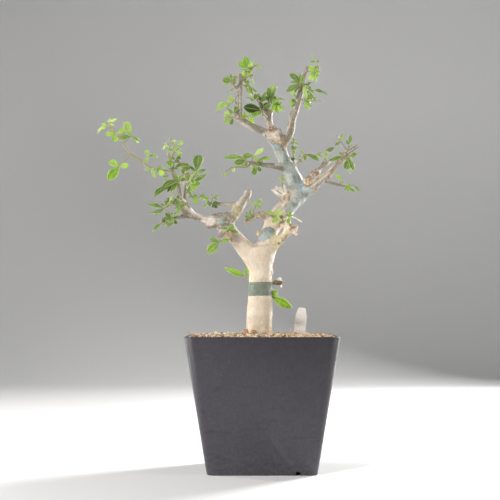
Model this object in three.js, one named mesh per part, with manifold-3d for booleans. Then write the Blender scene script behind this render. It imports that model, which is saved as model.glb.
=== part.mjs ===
// Commiphora bonsai in a square plastic nursery pot. Millimetres, +Z up.
// The origin is the centre of the pot's flat bottom, and the front of the pot faces -Y.
import * as THREE from 'three';
import { mergeVertices } from 'three/addons/utils/BufferGeometryUtils.js';
import Module from 'manifold-3d';

const wasm = await Module();
wasm.setup();

// Clear space kept between two pieces that touch on the real plant
const seatGap = 0.3;

// Pot: tapered, square, with rounded corners
const potTopWidth = 130;
const potBottomWidth = 93;
const potHeight = 116;
const potCornerTop = 8;
const potCornerBottom = 6.5;
const potWall = 2.5;
const potFloor = 5;
const drainOffset = 30;
const drainRadius = 4;
const channelWidth = 4;
const channelHeight = 3.5;

// Soil: fills the pot, a little higher round the trunk than at the rim
const soilEdgeDrop = 0.8;
const soilRise = 2.6;
const soilRings = 7;
const soilRingPoints = 32;
const gritHeight = 0.7;

// Plant label: a flat stake with a chamfered top, leaning a little to the right
const labelWidth = 10;
const labelThickness = 1;
const labelLength = 58;
const labelLean = 5;
const labelSpot = [33, 26, 82];

// Leaves: three leaflets on a small square hub at the end of a stalk
const leafThickness = 0.6;
const hubHalf = 0.55;
const sideLeafletScale = 0.72;
const leafletSpread = 78;
const smallestLeaf = 5;

// Slivers thinner than this are merged away where solids join
const smallestLeafFacet = 0.05;
const smallestBarkFacet = 0.1;

// Wood: the centre line of each limb as [x, y, z, radius], from its root outwards
const limbs = {
  trunk: [
    [-2, 0, 48, 4], [-2, 0, 70, 7.5], [-2, 0, 95, 10], [-2, 0, 116, 11], [-2, 0, 127.5, 11.1],
    [-1.5, 0, 140, 11], [-1.5, 0, 150.5, 10.2], [-1.5, 0, 161.5, 9.8], [-1, 0, 171.5, 9.8],
    [-1.5, 0, 179, 10.8], [-2, 0, 187, 12.6], [-3, 0, 193, 12.4],
  ],
  left_limb: [
    [-6, 0, 182.5, 8.8], [-11.5, -2, 188.5, 8.1], [-19, -5, 196.5, 6.8], [-25.5, -9, 204, 6.2],
    [-31, -13, 211.5, 6.4], [-35.5, -15, 217, 5.6],
  ],
  left_bough: [
    [-30, -14, 213.5, 5.6], [-39.5, -17, 214.5, 4.5], [-49.5, -20, 216, 3.3], [-59, -24, 219.5, 3.2],
    [-64.5, -26, 223.5, 3.7], [-68.5, -27, 228.5, 3.2],
  ],
  left_upright: [
    [-65, -26, 224, 3.2], [-69, -28, 232, 2], [-71, -30, 241.5, 1.7], [-74.5, -31, 250.5, 1.6],
    [-76, -32, 257.5, 1.5], [-78, -33, 264.5, 1.4], [-80.5, -34, 272, 1.2],
  ],
  inner_upright: [[-65, -25, 225.5, 2.8], [-66.5, -23, 234.5, 1.7], [-66.5, -21, 242.5, 1.5], [-67, -18, 253.5, 1.4]],
  left_stub: [[-64, -26, 224.5, 3], [-70.5, -29, 227.5, 2.4], [-76.5, -32, 230, 1.6]],
  lower_twig: [
    [-61, -24, 220, 2.1], [-67.5, -27, 218, 1.5], [-71.5, -31, 217, 1.3], [-77.5, -35, 216, 1.2],
    [-82.5, -39, 213.5, 1.2], [-85, -41, 213, 0.9],
  ],
  snag: [
    [-32.5, -13, 214.5, 5.6], [-27, -10, 219, 5], [-22, -5, 226.5, 4.3], [-18, 0, 233, 3.5],
    [-14.5, 4, 238.5, 3], [-12, 8, 243, 2.8],
  ],
  snag_arm: [[-20.5, -3, 229.5, 2.6], [-26, 0, 230.5, 2.2], [-32, 5, 231, 1.8], [-39, 10, 232, 1.7]],
  cut_stub_up: [[-35.5, -15, 215, 3.5], [-37, -17, 221, 2.2]],
  cut_stub_low: [[-39.5, -16, 214, 3.5], [-47, -23, 209, 1.5]],
  cut_stub_down: [[-31, -12, 209, 3.5], [-37, -22, 200.5, 1.6]],
  right_limb: [
    [0.5, 0, 183.5, 8.8], [3.5, 2, 193.5, 8.5], [5.5, 4, 202, 7.2], [9, 7, 211, 7.5],
    [15, 10, 221, 7.9], [23, 13, 229.5, 8], [31, 17, 238.5, 7.5],
  ],
  side_fork: [[6, 0, 187, 3.9], [13.5, -3, 196.5, 3.5], [20, -8, 203.5, 3], [24.5, -12, 209.5, 2.9]],
  fork_stub_a: [[23, -11, 207.5, 2.4], [28, -13, 208.5, 1.9], [29.5, -13, 211.5, 1.8]],
  fork_stub_b: [[24.5, -12, 208.5, 2.2], [28, -14, 205.5, 1.6], [31, -16, 203, 1.2]],
  crossing_twig: [[23.5, -12, 210, 1.1], [21.5, -6, 215, 0.9], [18, 1, 220, 0.9]],
  left_arm: [[7.5, 8, 218.5, 4], [0.5, 5, 222, 3.4], [-5.5, 0, 220, 2.7], [-10, -4, 217.5, 2.4], [-14, -8, 214.5, 1.8]],
  torn_stub: [[29, 15, 239, 7.4], [21.5, 11, 241.5, 5.7], [15.5, 8, 242.5, 3.3], [9, 4, 244, 1.3]],
  upper_bough: [
    [29, 16, 236.5, 8], [31.5, 19, 245, 7.8], [30, 22, 254, 7], [25, 24, 264, 6.3],
    [20, 24, 273.5, 5.6], [16.5, 23, 282, 6.1], [14, 21, 289, 6.4],
  ],
  top_right: [
    [17.5, 22, 286.5, 4.9], [23.5, 23, 292.5, 4], [26.5, 25, 299.5, 3.6], [28, 28, 309, 3.3],
    [31, 31, 319.5, 3.2], [34.5, 33, 330.5, 2.8], [36.5, 34, 339, 2.3], [38.5, 32, 348.5, 2.1], [42, 30, 358, 1.3],
  ],
  top_left: [
    [12, 20, 289, 4.9], [6.5, 15, 293.5, 3.9], [-0.5, 8, 297, 3.4], [-8.5, 0, 299.5, 3.1],
    [-16, -7, 302.5, 2.9], [-22.5, -12, 306.5, 2.4],
  ],
  left_post: [[-20, -10, 305.5, 2.4], [-19, -9, 313.5, 2.1], [-19, -7, 328, 2.1], [-18.5, -5, 343, 2]],
  post_twig: [[-20, -7, 330.5, 1.3], [-22.5, -9, 332, 1.1], [-26.5, -14, 335.5, 0.9]],
  top_post: [[10.5, 18, 296, 4.4], [7.5, 19, 304, 3.4], [6.5, 22, 311, 3.2], [6.5, 24, 316, 2.8]],
  post_fork_a: [[5, 24, 314.5, 1.4], [3, 23, 317.5, 1.1], [-3.5, 22, 325, 0.9]],
  post_fork_b: [[8, 24, 314.5, 1.5], [10.5, 25, 319, 1.1], [11, 26, 322.5, 0.9]],
  mid_twig: [
    [21, 23, 265.5, 3.6], [12, 15, 266, 2.7], [5.5, 8, 266, 2.2], [-1, 1, 266, 1.9],
    [-7.5, -5, 266.5, 1.7], [-12, -8, 266.5, 1.6],
  ],
  bud_stub: [[25, 24, 263.5, 2.7], [28.5, 28, 267.5, 2], [30.5, 33, 273, 1.4]],
  right_bough: [
    [33.5, 18, 239.5, 6.2], [39.5, 16, 244, 5.5], [45.5, 13, 248.5, 4.7], [52, 8, 254, 3.6],
    [58.5, 2, 258.5, 2.8], [63.5, -3, 263, 2.4], [68.5, -8, 268.5, 2.5], [73, -11, 273, 2.2],
  ],
  right_tip: [[71, -10, 271, 2.1], [76.5, -13, 276, 1.6], [83, -17, 280, 1.4]],
  thin_twig: [[73.5, -12, 275, 1.2], [72, -13, 278.5, 0.9], [66.5, -16, 287, 0.8]],
  right_fork: [[46, 14, 252.5, 2.7], [50.5, 19, 261.5, 2], [55, 23, 267, 1.7], [59, 27, 270.5, 1.5]],
  fork_prong: [[55.5, 24, 268, 1.3], [58, 26, 271.5, 1.2], [57, 27, 275.5, 1]],
  fork_spur: [[57, 25, 269, 1.2], [63.5, 30, 272.5, 0.9]],
  low_twig: [[51.5, 9, 252.5, 1.9], [57.5, 14, 252, 1.7], [64.5, 21, 251, 1.5], [75, 30, 249.5, 1.3]],
  trunk_spur: [[7, 3, 161, 1.8], [13, 5, 162.5, 1.3], [18.5, 6, 162.5, 1.1]],
};

// Callus lumps and healed pruning cuts, as [x, y, z, half width, half height]
const knobs = {
  elbow_callus: [-29, -14, 203, 3.9, 3.7],
  left_knuckle: [-35.5, -16, 215, 6.5, 5.6],
  fork_scar: [-2, 2, 205.5, 2.4, 2.6],
  crown_callus: [11, 18, 296, 5.3, 4],
  crown_scar: [14, 15.5, 291.5, 3.1, 3.1],
  bough_scar: [40.5, 11.5, 251, 3.8, 4.4],
  bough_knob: [44.5, 14, 257, 2.7, 2.8],
  bough_burr: [48.5, 17, 261, 2.9, 2.4],
  under_knob: [46.5, 13, 244.5, 2.2, 1.8],
  stub_lump: [18, 9, 236.5, 2.2, 2.6],
  bud_scar_a: [59.5, 2, 256, 2, 2.2],
  bud_scar_b: [69, -9, 268.5, 2.6, 2.4],
  tip_callus: [-18.5, -5, 343, 2.4, 1.8],
  fork_burr: [24, -12, 208.5, 3, 3],
};

// Leafy shoots. path: stations [x, y, z, radius]. tone: 0 mature dark leaves, 1 young pale ones.
// leaves: [place along the path in stations, heading, stalk, turn at the hub, leaf length,
// lean away from the front, roll, spread of the side leaflets], with angles in degrees.
const shoots = {
  far_left: {
    tone: 0.7,
    path: [
      [-76.5, -32.5, 256.5, 1], [-84.5, -35, 257, 0.9], [-92, -37, 258.5, 0.9], [-96.5, -39, 260, 0.9],
      [-102.5, -41, 264.5, 0.9], [-111, -44, 270, 0.8], [-116.5, -46, 278, 0.8], [-121, -48, 282.5, 0.8],
      [-124.5, -50, 288, 0.7], [-127.5, -51, 292, 0.7],
    ],
    leaves: [
      [9, 70, 2.5, 0, 5, 0, 20], [9, 188, 5, 22, 7, -10, 25], [8.3, 200, 1.5, -8, 8, -15, 25],
      [8, 8, 2, 14, 8.5, 15, 15], [6, 53, 8.5, 42, 12, 0, 5], [5, 227, 13.5, 10, 12.5, -12, 0],
      [4, 34, 7, -18, 8, 10, 10], [2.6, 205, 2.5, 40, 7, -25, 20], [1.8, 120, 2.5, 70, 7, -25, 40],
      [1.4, 285, 2.5, 0, 6, -35, 10],
    ],
  },
  upright_tip: {
    tone: 0.75,
    path: [
      [-78, -33.5, 264, 0.9], [-76, -36, 270, 0.8], [-74.5, -37, 273.5, 0.7], [-76, -38, 278, 0.7],
      [-77, -38, 282.5, 0.6], [-79, -38, 285, 0.6],
    ],
    leaves: [
      [4.9, 30, 1.5, 0, 3.5, 0, 20], [3.2, 178, 4.5, 20, 4.5, -15, 0], [3.1, 12, 4.5, 12, 5, 0, 10],
      [2.2, 200, 1.5, 0, 5.5, -30, 10], [1.9, 325, 2.5, 0, 7, -12, 0], [0.5, 238, 1.5, 0, 7, -25, 30],
      [0.2, 275, 1.5, 0, 7.5, -40, 10],
    ],
  },
  upright_side: {
    tone: 0.35,
    path: [[-77, -32.5, 264, 0.8], [-72.5, -30, 264.5, 0.7], [-69.5, -27, 264, 0.7], [-67, -26, 262.5, 0.6]],
    leaves: [[0.8, 50, 2.5, 0, 5, 20, 0], [3, 24, 1.5, -5, 9.5, -8, 25], [2.4, 318, 2.5, 0, 7, -25, 10]],
  },
  inner_tip: {
    tone: 0.3,
    path: [[-67, -18.5, 253, 0.9], [-64.5, -20, 256, 0.8], [-61.5, -22, 255, 0.7]],
    leaves: [
      [2, 22, 4.5, 58, 16, 6, 8, 72], [0.4, 105, 3.5, 0, 7, 20, 50], [0.8, 62, 5, 10, 7, 0, 10],
      [1.4, 345, 4.5, 14, 11, 0, 50], [1.2, 292, 5, 12, 10, -55, 35], [0.6, 282, 8.5, 10, 7.5, -20, 10],
    ],
  },
  left_front: {
    tone: 0.2,
    path: [[-71, -30.5, 244.5, 0.9], [-71, -35, 248, 0.8], [-74, -38, 247, 0.7]],
    leaves: [[2, 204, 7.5, 14, 12.5, -40, 20], [1.5, 196, 1.5, 8, 11, -20, 30], [1.2, 238, 4.5, 0, 7.5, -20, 25]],
  },
  drooping: {
    tone: 0.8,
    path: [[-66.5, -20.5, 244, 0.8], [-62.5, -17, 240, 0.7], [-60, -16, 235, 0.6]],
    leaves: [[2, 318, 1.5, 0, 7, -5, 10], [1.4, 18, 1.5, -10, 5.5, 5, 20], [0.6, 50, 2.5, -20, 6, -5, 0]],
  },
  low_left_leaf: {
    tone: 0.3,
    path: [[-75, -34, 216.5, 0.7], [-79.5, -39, 221, 0.7], [-82.5, -41, 224, 0.6]],
    leaves: [[2, 142, 2, 26, 13, -28, -12], [1.8, 105, 3.5, -20, 7, 10, 30], [1.5, 58, 3.5, 0, 7, 0, 35]],
  },
  stub_tuft: {
    tone: 0.45,
    path: [[-75.5, -31.5, 229.5, 0.8], [-78.5, -34, 231, 0.7]],
    leaves: [[1, 60, 2.5, 5, 9, -10, 45], [0.8, 150, 1.5, 0, 4.5, -5, 20]],
  },
  stub_leaf: {
    tone: 0.3,
    path: [[-70, -29.5, 228, 0.8], [-71, -34, 231, 0.7]],
    leaves: [[1, 110, 1.5, 0, 5, -20, 0], [0.8, 255, 5, 0, 7, -25, 45]],
  },
  elbow_leaf: {
    tone: 0.2,
    path: [[-65.5, -27.5, 226, 0.8], [-64.5, -35, 229.5, 0.7]],
    leaves: [[1, 232, 1.5, 0, 7.5, -10, 50]],
  },
  low_left_tip: {
    tone: 0.3,
    path: [[-81.5, -38.5, 213.5, 0.8], [-83, -41, 210, 0.7]],
    leaves: [[1, 220, 1.5, 6, 11.5, -5, 35], [0.9, 300, 2.5, -40, 7, -20, 5]],
  },
  low_left_tuft: {
    tone: 0.15,
    path: [[-75, -33.5, 216, 0.8], [-76, -37, 213.5, 0.7]],
    leaves: [[1, 170, 1.5, 0, 7, -25, 30], [0.8, 245, 2.5, -8, 8.5, -15, 30]],
  },
  arm_tip: {
    tone: 0.6,
    path: [[-38, 9, 232, 1], [-42.5, 8, 231.5, 0.8], [-46, 6, 233, 0.7], [-49.5, 4, 236.5, 0.6]],
    leaves: [
      [3, 155, 1.5, 30, 6, 0, 35], [2.6, 40, 1.5, 0, 3.5, 0, 10], [1, 82, 6, -15, 4.5, 0, 20],
      [0.8, 350, 1.5, 0, 6, -25, 15], [1.5, 215, 2.5, 20, 5, -10, 20],
    ],
  },
  hanging_leaf: {
    tone: 0.35,
    path: [[-35.5, -20, 203, 0.8], [-36, -27, 200, 0.7]],
    leaves: [[1, 250, 3, -14, 11.5, -8, 0, 88]],
  },
  knuckle_tuft: {
    tone: 0.25,
    path: [[-31, -17, 209.5, 0.8], [-28, -25, 209, 0.7]],
    leaves: [[1, 215, 1.5, 0, 4.5, -25, 0], [1, 62, 2, 0, 4.5, -10, 15], [1, 342, 2.5, 0, 6.5, -20, 0]],
  },
  arm_leaf: {
    tone: 0.65,
    path: [[-8, -1.5, 219.5, 0.8], [-6.5, -2, 225.5, 0.7], [-5, -2, 229, 0.7]],
    leaves: [[2, 58, 1.5, -14, 7, 0, 0, 92]],
  },
  arm_tuft: {
    tone: 0.3,
    path: [[-12, -6, 216, 0.8], [-12, -9, 221, 0.7]],
    leaves: [[1, 68, 1.5, 0, 4.5, -20, 0], [0.8, 205, 1.5, 30, 5, -20, 10]],
  },
  fork_leaf: {
    tone: 0.75,
    path: [[12.5, 2, 216, 0.8], [12, -3, 220.5, 0.7]],
    leaves: [[1, 152, 1.5, 0, 7.5, -15, 0, 80], [1, 27, 1.5, 0, 6.5, -20, 5, 70]],
  },
  fork_tuft: {
    tone: 0.45,
    path: [[24, -12.5, 210, 0.8], [24.5, -13, 216.5, 0.7]],
    leaves: [[1, 95, 1.5, 0, 5, -15, 15], [0.7, 300, 1.5, -30, 5, -25, 10]],
  },
  trunk_left: {
    tone: 0.7,
    path: [[-7.5, 5, 164.5, 0.9], [-13, 8, 166, 0.8]],
    leaves: [[1, 148, 3.5, 8, 17, 0, 8, 68]],
  },
  trunk_right: {
    tone: 0.8,
    path: [[5, 4, 159, 0.9], [10.5, 6, 154.5, 0.8], [11, 4, 151, 0.7]],
    leaves: [[2, 318, 1.5, 10, 17, -6, 30, 80]],
  },
  post_side: {
    tone: 0.4,
    path: [[-25.5, -13, 334.5, 0.8], [-28.5, -16, 336.5, 0.7]],
    leaves: [[1, 168, 1.5, 8, 7, -8, 15], [0.8, 75, 2.5, -20, 6.5, 5, 25], [0.8, 232, 2.5, 0, 5.5, 10, 45]],
  },
  post_top: {
    tone: 0.6,
    path: [
      [-18, -5.5, 340, 0.9], [-13.5, -8, 341.5, 0.8], [-10.5, -9, 343, 0.7], [-9, -10, 346.5, 0.7],
      [-7.5, -11, 349.5, 0.6], [-5.5, -11, 351.5, 0.6],
    ],
    leaves: [
      [5, 325, 1.5, -8, 5, 0, 10], [3.2, 148, 5.5, -45, 7, -25, 5], [2.8, 118, 1.5, 0, 5, 10, 0],
      [1.6, 112, 2.5, 0, 6, 5, 0], [0.8, 70, 1.5, 0, 5.5, 20, 10], [2, 285, 2.5, -5, 6, 0, 55],
    ],
  },
  post_droop: {
    tone: 0.3,
    path: [[-18, -6.5, 335, 0.9], [-14.5, -9, 334, 0.8]],
    leaves: [[1, 300, 2.5, 3, 13, -30, 55], [0.8, 335, 5, -30, 10, 10, 45], [0.9, 35, 1.5, 0, 5, -15, 0]],
  },
  post_low: {
    tone: 0.3,
    path: [[-19.5, -7.5, 327, 0.8], [-22, -11, 323.5, 0.7], [-23.5, -13, 320.5, 0.7], [-26, -14, 318, 0.6]],
    leaves: [[3, 196, 1.5, 4, 13, 0, 20], [1.6, 172, 1.5, 8, 7, -15, 0]],
  },
  post_foot: {
    tone: 0.2,
    path: [[-22.5, -12.5, 306, 0.9], [-25.5, -16, 304.5, 0.8]],
    leaves: [[1, 232, 1.5, 0, 7.5, -12, 0, 78], [0.8, 135, 2.5, 0, 7.5, 0, 50], [0.8, 95, 2.5, -10, 6, 15, 10]],
  },
  foot_right: {
    tone: 0.55,
    path: [[-16.5, -8, 303.5, 0.8], [-13.5, -10, 307, 0.7]],
    leaves: [[1, 345, 1.5, -25, 7.5, -12, 0], [0.8, 110, 1.5, 0, 5, 10, 30]],
  },
  crown_leaf: {
    tone: 0.3,
    path: [[6, 24, 315, 0.9], [5.5, 24, 321.5, 0.8], [6.5, 25, 325, 0.8], [8.5, 26, 327.5, 0.7]],
    leaves: [[3, 82, 1.5, 0, 12.5, 0, 20], [2.6, 8, 2.5, -4, 8, 0, 50], [2, 195, 1.5, 0, 7.5, -25, 35]],
  },
  crown_left: {
    tone: 0.35,
    path: [[-2.5, 22, 324, 0.8], [-4.5, 21, 327, 0.7]],
    leaves: [[1, 72, 1.5, 0, 8, 5, 35], [0.8, 168, 2.5, 0, 5.5, -10, 5]],
  },
  crown_right: {
    tone: 0.7,
    path: [[10.8, 25.8, 321.5, 0.8], [12.5, 25, 324, 0.7], [14, 24, 323, 0.7]],
    leaves: [[2, 322, 1.5, 0, 8.5, 10, 30], [1.2, 268, 2.5, 0, 6, -20, 10], [2, 40, 1.5, 0, 4.5, 5, 10]],
  },
  dark_leaf: {
    tone: 0.05,
    path: [[5.5, 22, 313.5, 0.9], [1.5, 17, 315.5, 0.8]],
    leaves: [[1, 172, 1.5, 6, 15, -22, 30], [0.8, 212, 2.5, 0, 8, -15, 40]],
  },
  right_post_left: {
    tone: 0.3,
    path: [[36, 33, 337, 0.9], [33.5, 30, 340, 0.8]],
    leaves: [
      [1, 122, 1.5, 6, 9.5, -30, 15], [1, 176, 1.5, 0, 8.5, -32, 35], [0.8, 214, 1.5, 0, 12, -15, 15],
      [0.8, 258, 1.5, 10, 7.5, -10, 50],
    ],
  },
  right_post_low: {
    tone: 0.4,
    path: [[33, 32, 327, 0.8], [29.5, 28, 325.5, 0.7]],
    leaves: [[1, 150, 1.5, 50, 7.5, -10, 15]],
  },
  top_tuft: {
    tone: 0.85,
    path: [
      [40.5, 31, 354, 0.9], [45.5, 30, 353, 0.8], [49.5, 29, 352.5, 0.7], [52, 28, 354.5, 0.7],
      [51.5, 28, 358, 0.6], [50, 28, 361.5, 0.6],
    ],
    leaves: [
      [5, 122, 1.5, 0, 7, 0, 50], [5, 15, 1.5, 0, 4.5, 10, 20], [3, 262, 1.5, 0, 5.5, -20, 0],
      [2, 120, 1.5, 0, 5, -20, 15], [1, 85, 1.5, 0, 5.5, 10, 25], [0.9, 285, 1.5, 0, 7, -12, 0],
      [2.5, 258, 4.5, 0, 6, 5, 55],
    ],
  },
  right_post_right: {
    tone: 0.5,
    path: [[37, 33, 341, 0.9], [41.5, 33, 339, 0.8], [44.5, 32, 337, 0.7]],
    leaves: [[2, 350, 3.5, -2, 12, 0, 20], [1.6, 305, 2.5, 0, 5, 15, 10], [0.8, 272, 2.5, 0, 9.5, -40, 65]],
  },
  right_post_mid: {
    tone: 0.7,
    path: [[34.5, 32.5, 329, 0.9], [40.5, 31, 327, 0.7], [44, 31, 326.5, 0.7]],
    leaves: [
      [0.9, 50, 2.5, 0, 6, 10, 5], [2, 4, 3.5, -4, 7, 0, 50], [1, 300, 1.5, 0, 6.5, -12, 35],
      [1.3, 330, 1.5, 0, 7, -10, 35],
    ],
  },
  mid_rise: {
    tone: 0.45,
    path: [[-9, -6, 266.5, 0.8], [-8, -8, 270.5, 0.7], [-7, -9, 272.5, 0.7]],
    leaves: [[2, 36, 1.5, -4, 9.5, 0, 30], [2, 166, 1.5, 8, 8.5, -12, 0], [1.7, 318, 1.5, 0, 5, -15, 5]],
  },
  mid_left: {
    tone: 0.15,
    path: [[-11.5, -7.5, 266.5, 0.9], [-15, -12, 268, 0.8]],
    leaves: [[1, 140, 4, 38, 14.5, 2, 28], [1, 198, 1.5, 0, 9.5, -15, 15]],
  },
  mid_trail: {
    tone: 0.7,
    path: [
      [-10, -6.5, 266, 0.8], [-13, -10, 262.5, 0.7], [-20.5, -14, 262, 0.7], [-26.5, -16, 261, 0.6],
      [-31, -18, 257.5, 0.6],
    ],
    leaves: [[4, 240, 1.5, 0, 4.5, 0, 20], [2.9, 262, 1.5, 0, 5, -5, 0], [1, 150, 1.5, 20, 5, -25, 10]],
  },
  mid_under: {
    tone: 0.3,
    path: [[-5, -3, 266, 0.8], [-4.5, -8, 260.5, 0.7]],
    leaves: [[1, 248, 1.5, 0, 7.5, -12, 5], [1, 335, 1.5, 0, 6, -5, 5]],
  },
  mid_inner: {
    tone: 0.35,
    path: [[1, 2.5, 266, 0.8], [0.5, -2, 270, 0.7]],
    leaves: [[1, 6, 1.5, 0, 10, 2, 40], [1, 196, 1.5, 0, 7, -28, 0]],
  },
  bud_tip: {
    tone: 0.9,
    path: [[30.2, 32.5, 272, 0.8], [29, 33, 278, 0.7], [28.5, 32, 282.5, 0.7], [28.5, 31, 286, 0.6], [29, 30, 290, 0.6]],
    leaves: [
      [4, 62, 1.5, 0, 4, 0, 20], [3.4, 352, 1.5, -5, 4.5, 5, 20], [2.4, 345, 1.5, 0, 4.5, -5, 20],
      [0.8, 188, 1.5, 0, 5.5, -15, 0],
    ],
  },
  bud_leaf: {
    tone: 0.3,
    path: [[29, 29, 268.5, 0.8], [34, 31, 271, 0.7], [38.5, 34, 278, 0.7]],
    leaves: [[2, 338, 1.5, 0, 14, 0, 28, 100], [1.3, 50, 1.5, 0, 6, 25, 20]],
  },
  thin_tip: {
    tone: 0.4,
    path: [[67.5, -15.4, 285.3, 0.7], [65, -17, 289.5, 0.7]],
    leaves: [[1, 62, 1.5, 0, 6.5, 0, 45], [0.8, 222, 4.5, -15, 7, 5, 10], [0.8, 228, 11, -25, 7.5, -10, 20]],
  },
  prong_tip: {
    tone: 0.9,
    path: [[57.2, 26.8, 274.5, 0.8], [58, 27, 279.5, 0.7], [59, 26, 282.5, 0.6]],
    leaves: [
      [2, 72, 1.5, 0, 4, 0, 20], [1.2, 172, 1.5, 0, 4.5, -10, 10], [1, 12, 1.5, 0, 4.5, 10, 10],
      [0.6, 325, 1.5, 0, 4.5, -10, 10],
    ],
  },
  tip_rise: {
    tone: 0.3,
    path: [[75, -12, 274.5, 0.8], [75.5, -13, 280, 0.7]],
    leaves: [[1, 78, 1.5, 0, 8.5, 0, 40], [0.8, 150, 1.5, 0, 4.5, 10, 20]],
  },
  tip_left: {
    tone: 0.2,
    path: [[71.5, -10, 271.5, 0.9], [69, -14, 272, 0.8]],
    leaves: [[1, 186, 1.5, 6, 13, -5, 38], [0.9, 120, 1.5, 0, 5, 5, 10]],
  },
  tip_hang: {
    tone: 0.25,
    path: [[75, -12, 274.5, 0.9], [76.5, -15, 270.5, 0.7]],
    leaves: [[1, 252, 1.5, 0, 10.5, -10, 0], [1, 290, 1.5, -10, 10, 10, 40], [0.7, 8, 1.5, 8, 7.5, -10, 10]],
  },
  low_tip: {
    tone: 0.8,
    path: [[74, 29, 249.6, 0.8], [78, 30, 249, 0.7]],
    leaves: [[1, 30, 4.5, -62, 8, 0, 40], [1, 332, 1.5, 0, 7.5, -5, 35], [0.8, 72, 1.5, 0, 4.5, 0, 10]],
  },
  low_rise: {
    tone: 0.85,
    path: [[70.5, 26, 250.2, 0.8], [72, 26, 254, 0.7]],
    leaves: [[1, 132, 1.5, 0, 8, 0, 35]],
  },
  torn_tuft: {
    tone: 0.8,
    path: [[19.5, 9.5, 244, 0.8], [18, 6, 250.5, 0.7], [17.5, 6, 254, 0.6]],
    leaves: [[2, 155, 1.5, 0, 3.5, 0, 10], [2, 340, 1.5, -25, 4.5, 0, 15], [1.2, 235, 1.5, 0, 3.5, -10, 10]],
  },
};

const radians = THREE.MathUtils.degToRad;

// A closed three.js geometry as a solid that can be joined and cut
function solidOf(geometry) {
  geometry.deleteAttribute('normal');
  geometry.deleteAttribute('uv');
  const merged = mergeVertices(geometry, 1e-4);
  return new wasm.Manifold(new wasm.Mesh({
    numProp: 3,
    vertProperties: Float32Array.from(merged.attributes.position.array),
    triVerts: Uint32Array.from(merged.index.array),
  }));
}

function solidFrom(points, triangles) {
  const geometry = new THREE.BufferGeometry();
  geometry.setAttribute('position', new THREE.Float32BufferAttribute(points.flat(), 3));
  geometry.setIndex(triangles.flat());
  return solidOf(geometry);
}

function union(solids) {
  return solids.reduce((sum, solid) => sum.add(solid));
}

// The largest body of a solid, without the scraps that a cut leaves
function mainBody(solid) {
  const bodies = solid.decompose();
  bodies.sort((a, b) => b.volume() - a.volume());
  return bodies[0];
}

function mesh(name, solid, material) {
  const { vertProperties, triVerts } = solid.getMesh();
  const geometry = new THREE.BufferGeometry();
  geometry.setAttribute('position', new THREE.Float32BufferAttribute(vertProperties, 3));
  geometry.setIndex(Array.from(triVerts));
  geometry.computeVertexNormals();
  const made = new THREE.Mesh(geometry, material);
  made.name = name;
  return made;
}

// A tapered branch: a cylinder whose rings are laid at the stations, each square to the line there
function branch(stations, grow = 0) {
  const widest = Math.max(...stations.map((station) => station[3]));
  const sides = widest > 8 ? 10 : widest > 3.6 ? 8 : widest > 1.25 ? 5 : 4;
  const geometry = new THREE.CylinderGeometry(1, 1, 1, sides, stations.length - 1);
  const centres = stations.map(([x, y, z]) => new THREE.Vector3(x, y, z));
  const sideways = new THREE.Vector3(0, 1, 0);
  const rings = centres.map((centre, i) => {
    const before = centres[Math.max(i - 1, 0)];
    const after = centres[Math.min(i + 1, centres.length - 1)];
    const along = after.clone().sub(before).normalize();
    const across = sideways.clone().addScaledVector(along, -sideways.dot(along)).normalize();
    sideways.copy(across);
    return { centre, across, beside: along.clone().cross(across), radius: stations[i][3] + grow };
  });
  const position = geometry.attributes.position;
  for (let i = 0; i < position.count; i += 1) {
    const station = Math.round((position.getY(i) + 0.5) * (rings.length - 1));
    const { centre, across, beside, radius } = rings[station];
    const point = centre.clone();
    point.addScaledVector(beside, position.getX(i) * radius);
    point.addScaledVector(across, position.getZ(i) * radius);
    position.setXYZ(i, point.x, point.y, point.z);
  }
  return solidOf(geometry);
}

function knob([x, y, z, halfWidth, halfHeight], grow = 0) {
  const geometry = new THREE.IcosahedronGeometry(1, halfWidth > 3 ? 1 : 0);
  geometry.scale(halfWidth + grow, halfWidth + grow, halfHeight + grow);
  geometry.translate(x, y, z);
  return solidOf(geometry);
}

// The whole wood as one solid, made thicker all round by grow
function wood(grow = 0) {
  const tubes = Object.values(limbs).map((stations) => branch(stations, grow));
  const lumps = Object.values(knobs).map((lump) => knob(lump, grow));
  return union([...tubes, ...lumps]).asOriginal().simplify(smallestBarkFacet);
}

// Corner points of a rounded square, counted round from its right side
function roundedSquare(width, radius, z, arcSteps = 4) {
  const points = [];
  for (let corner = 0; corner < 4; corner += 1) {
    for (let step = 0; step <= arcSteps; step += 1) {
      const turn = (corner + step / arcSteps) * Math.PI / 2;
      const middle = (corner + 0.5) * Math.PI / 2;
      const reach = (width / 2 - radius) * Math.SQRT2;
      points.push([
        reach * Math.cos(middle) + radius * Math.cos(turn),
        reach * Math.sin(middle) + radius * Math.sin(turn),
        z,
      ]);
    }
  }
  return points;
}

// A closed solid through rings of equal point counts, ended by a fan round a centre point
function loft(rings, firstCentre, lastCentre) {
  const count = rings[0].length;
  const points = [...rings.flat(), firstCentre, lastCentre];
  const triangles = [];
  const first = rings.length * count;
  for (let i = 0; i < count; i += 1) {
    const next = (i + 1) % count;
    triangles.push([next, i, first]);
    const top = (rings.length - 1) * count;
    triangles.push([top + i, top + next, first + 1]);
    for (let ring = 0; ring < rings.length - 1; ring += 1) {
      const low = ring * count;
      const high = low + count;
      triangles.push([low + i, low + next, high + next], [low + i, high + next, high + i]);
    }
  }
  return solidFrom(points, triangles);
}

// Width of the pot's outside at a height above its bottom
function potWidthAt(z) {
  return potBottomWidth + (potTopWidth - potBottomWidth) * z / potHeight;
}

function potCornerAt(z) {
  return potCornerBottom + (potCornerTop - potCornerBottom) * z / potHeight;
}

function hollowBlock(inset, bottom, top, topCentre) {
  const section = (z) => roundedSquare(potWidthAt(z) - 2 * inset, potCornerAt(z) - inset, z);
  return loft([section(bottom), section(top)], [0, 0, bottom], [0, 0, topCentre]);
}

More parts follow.
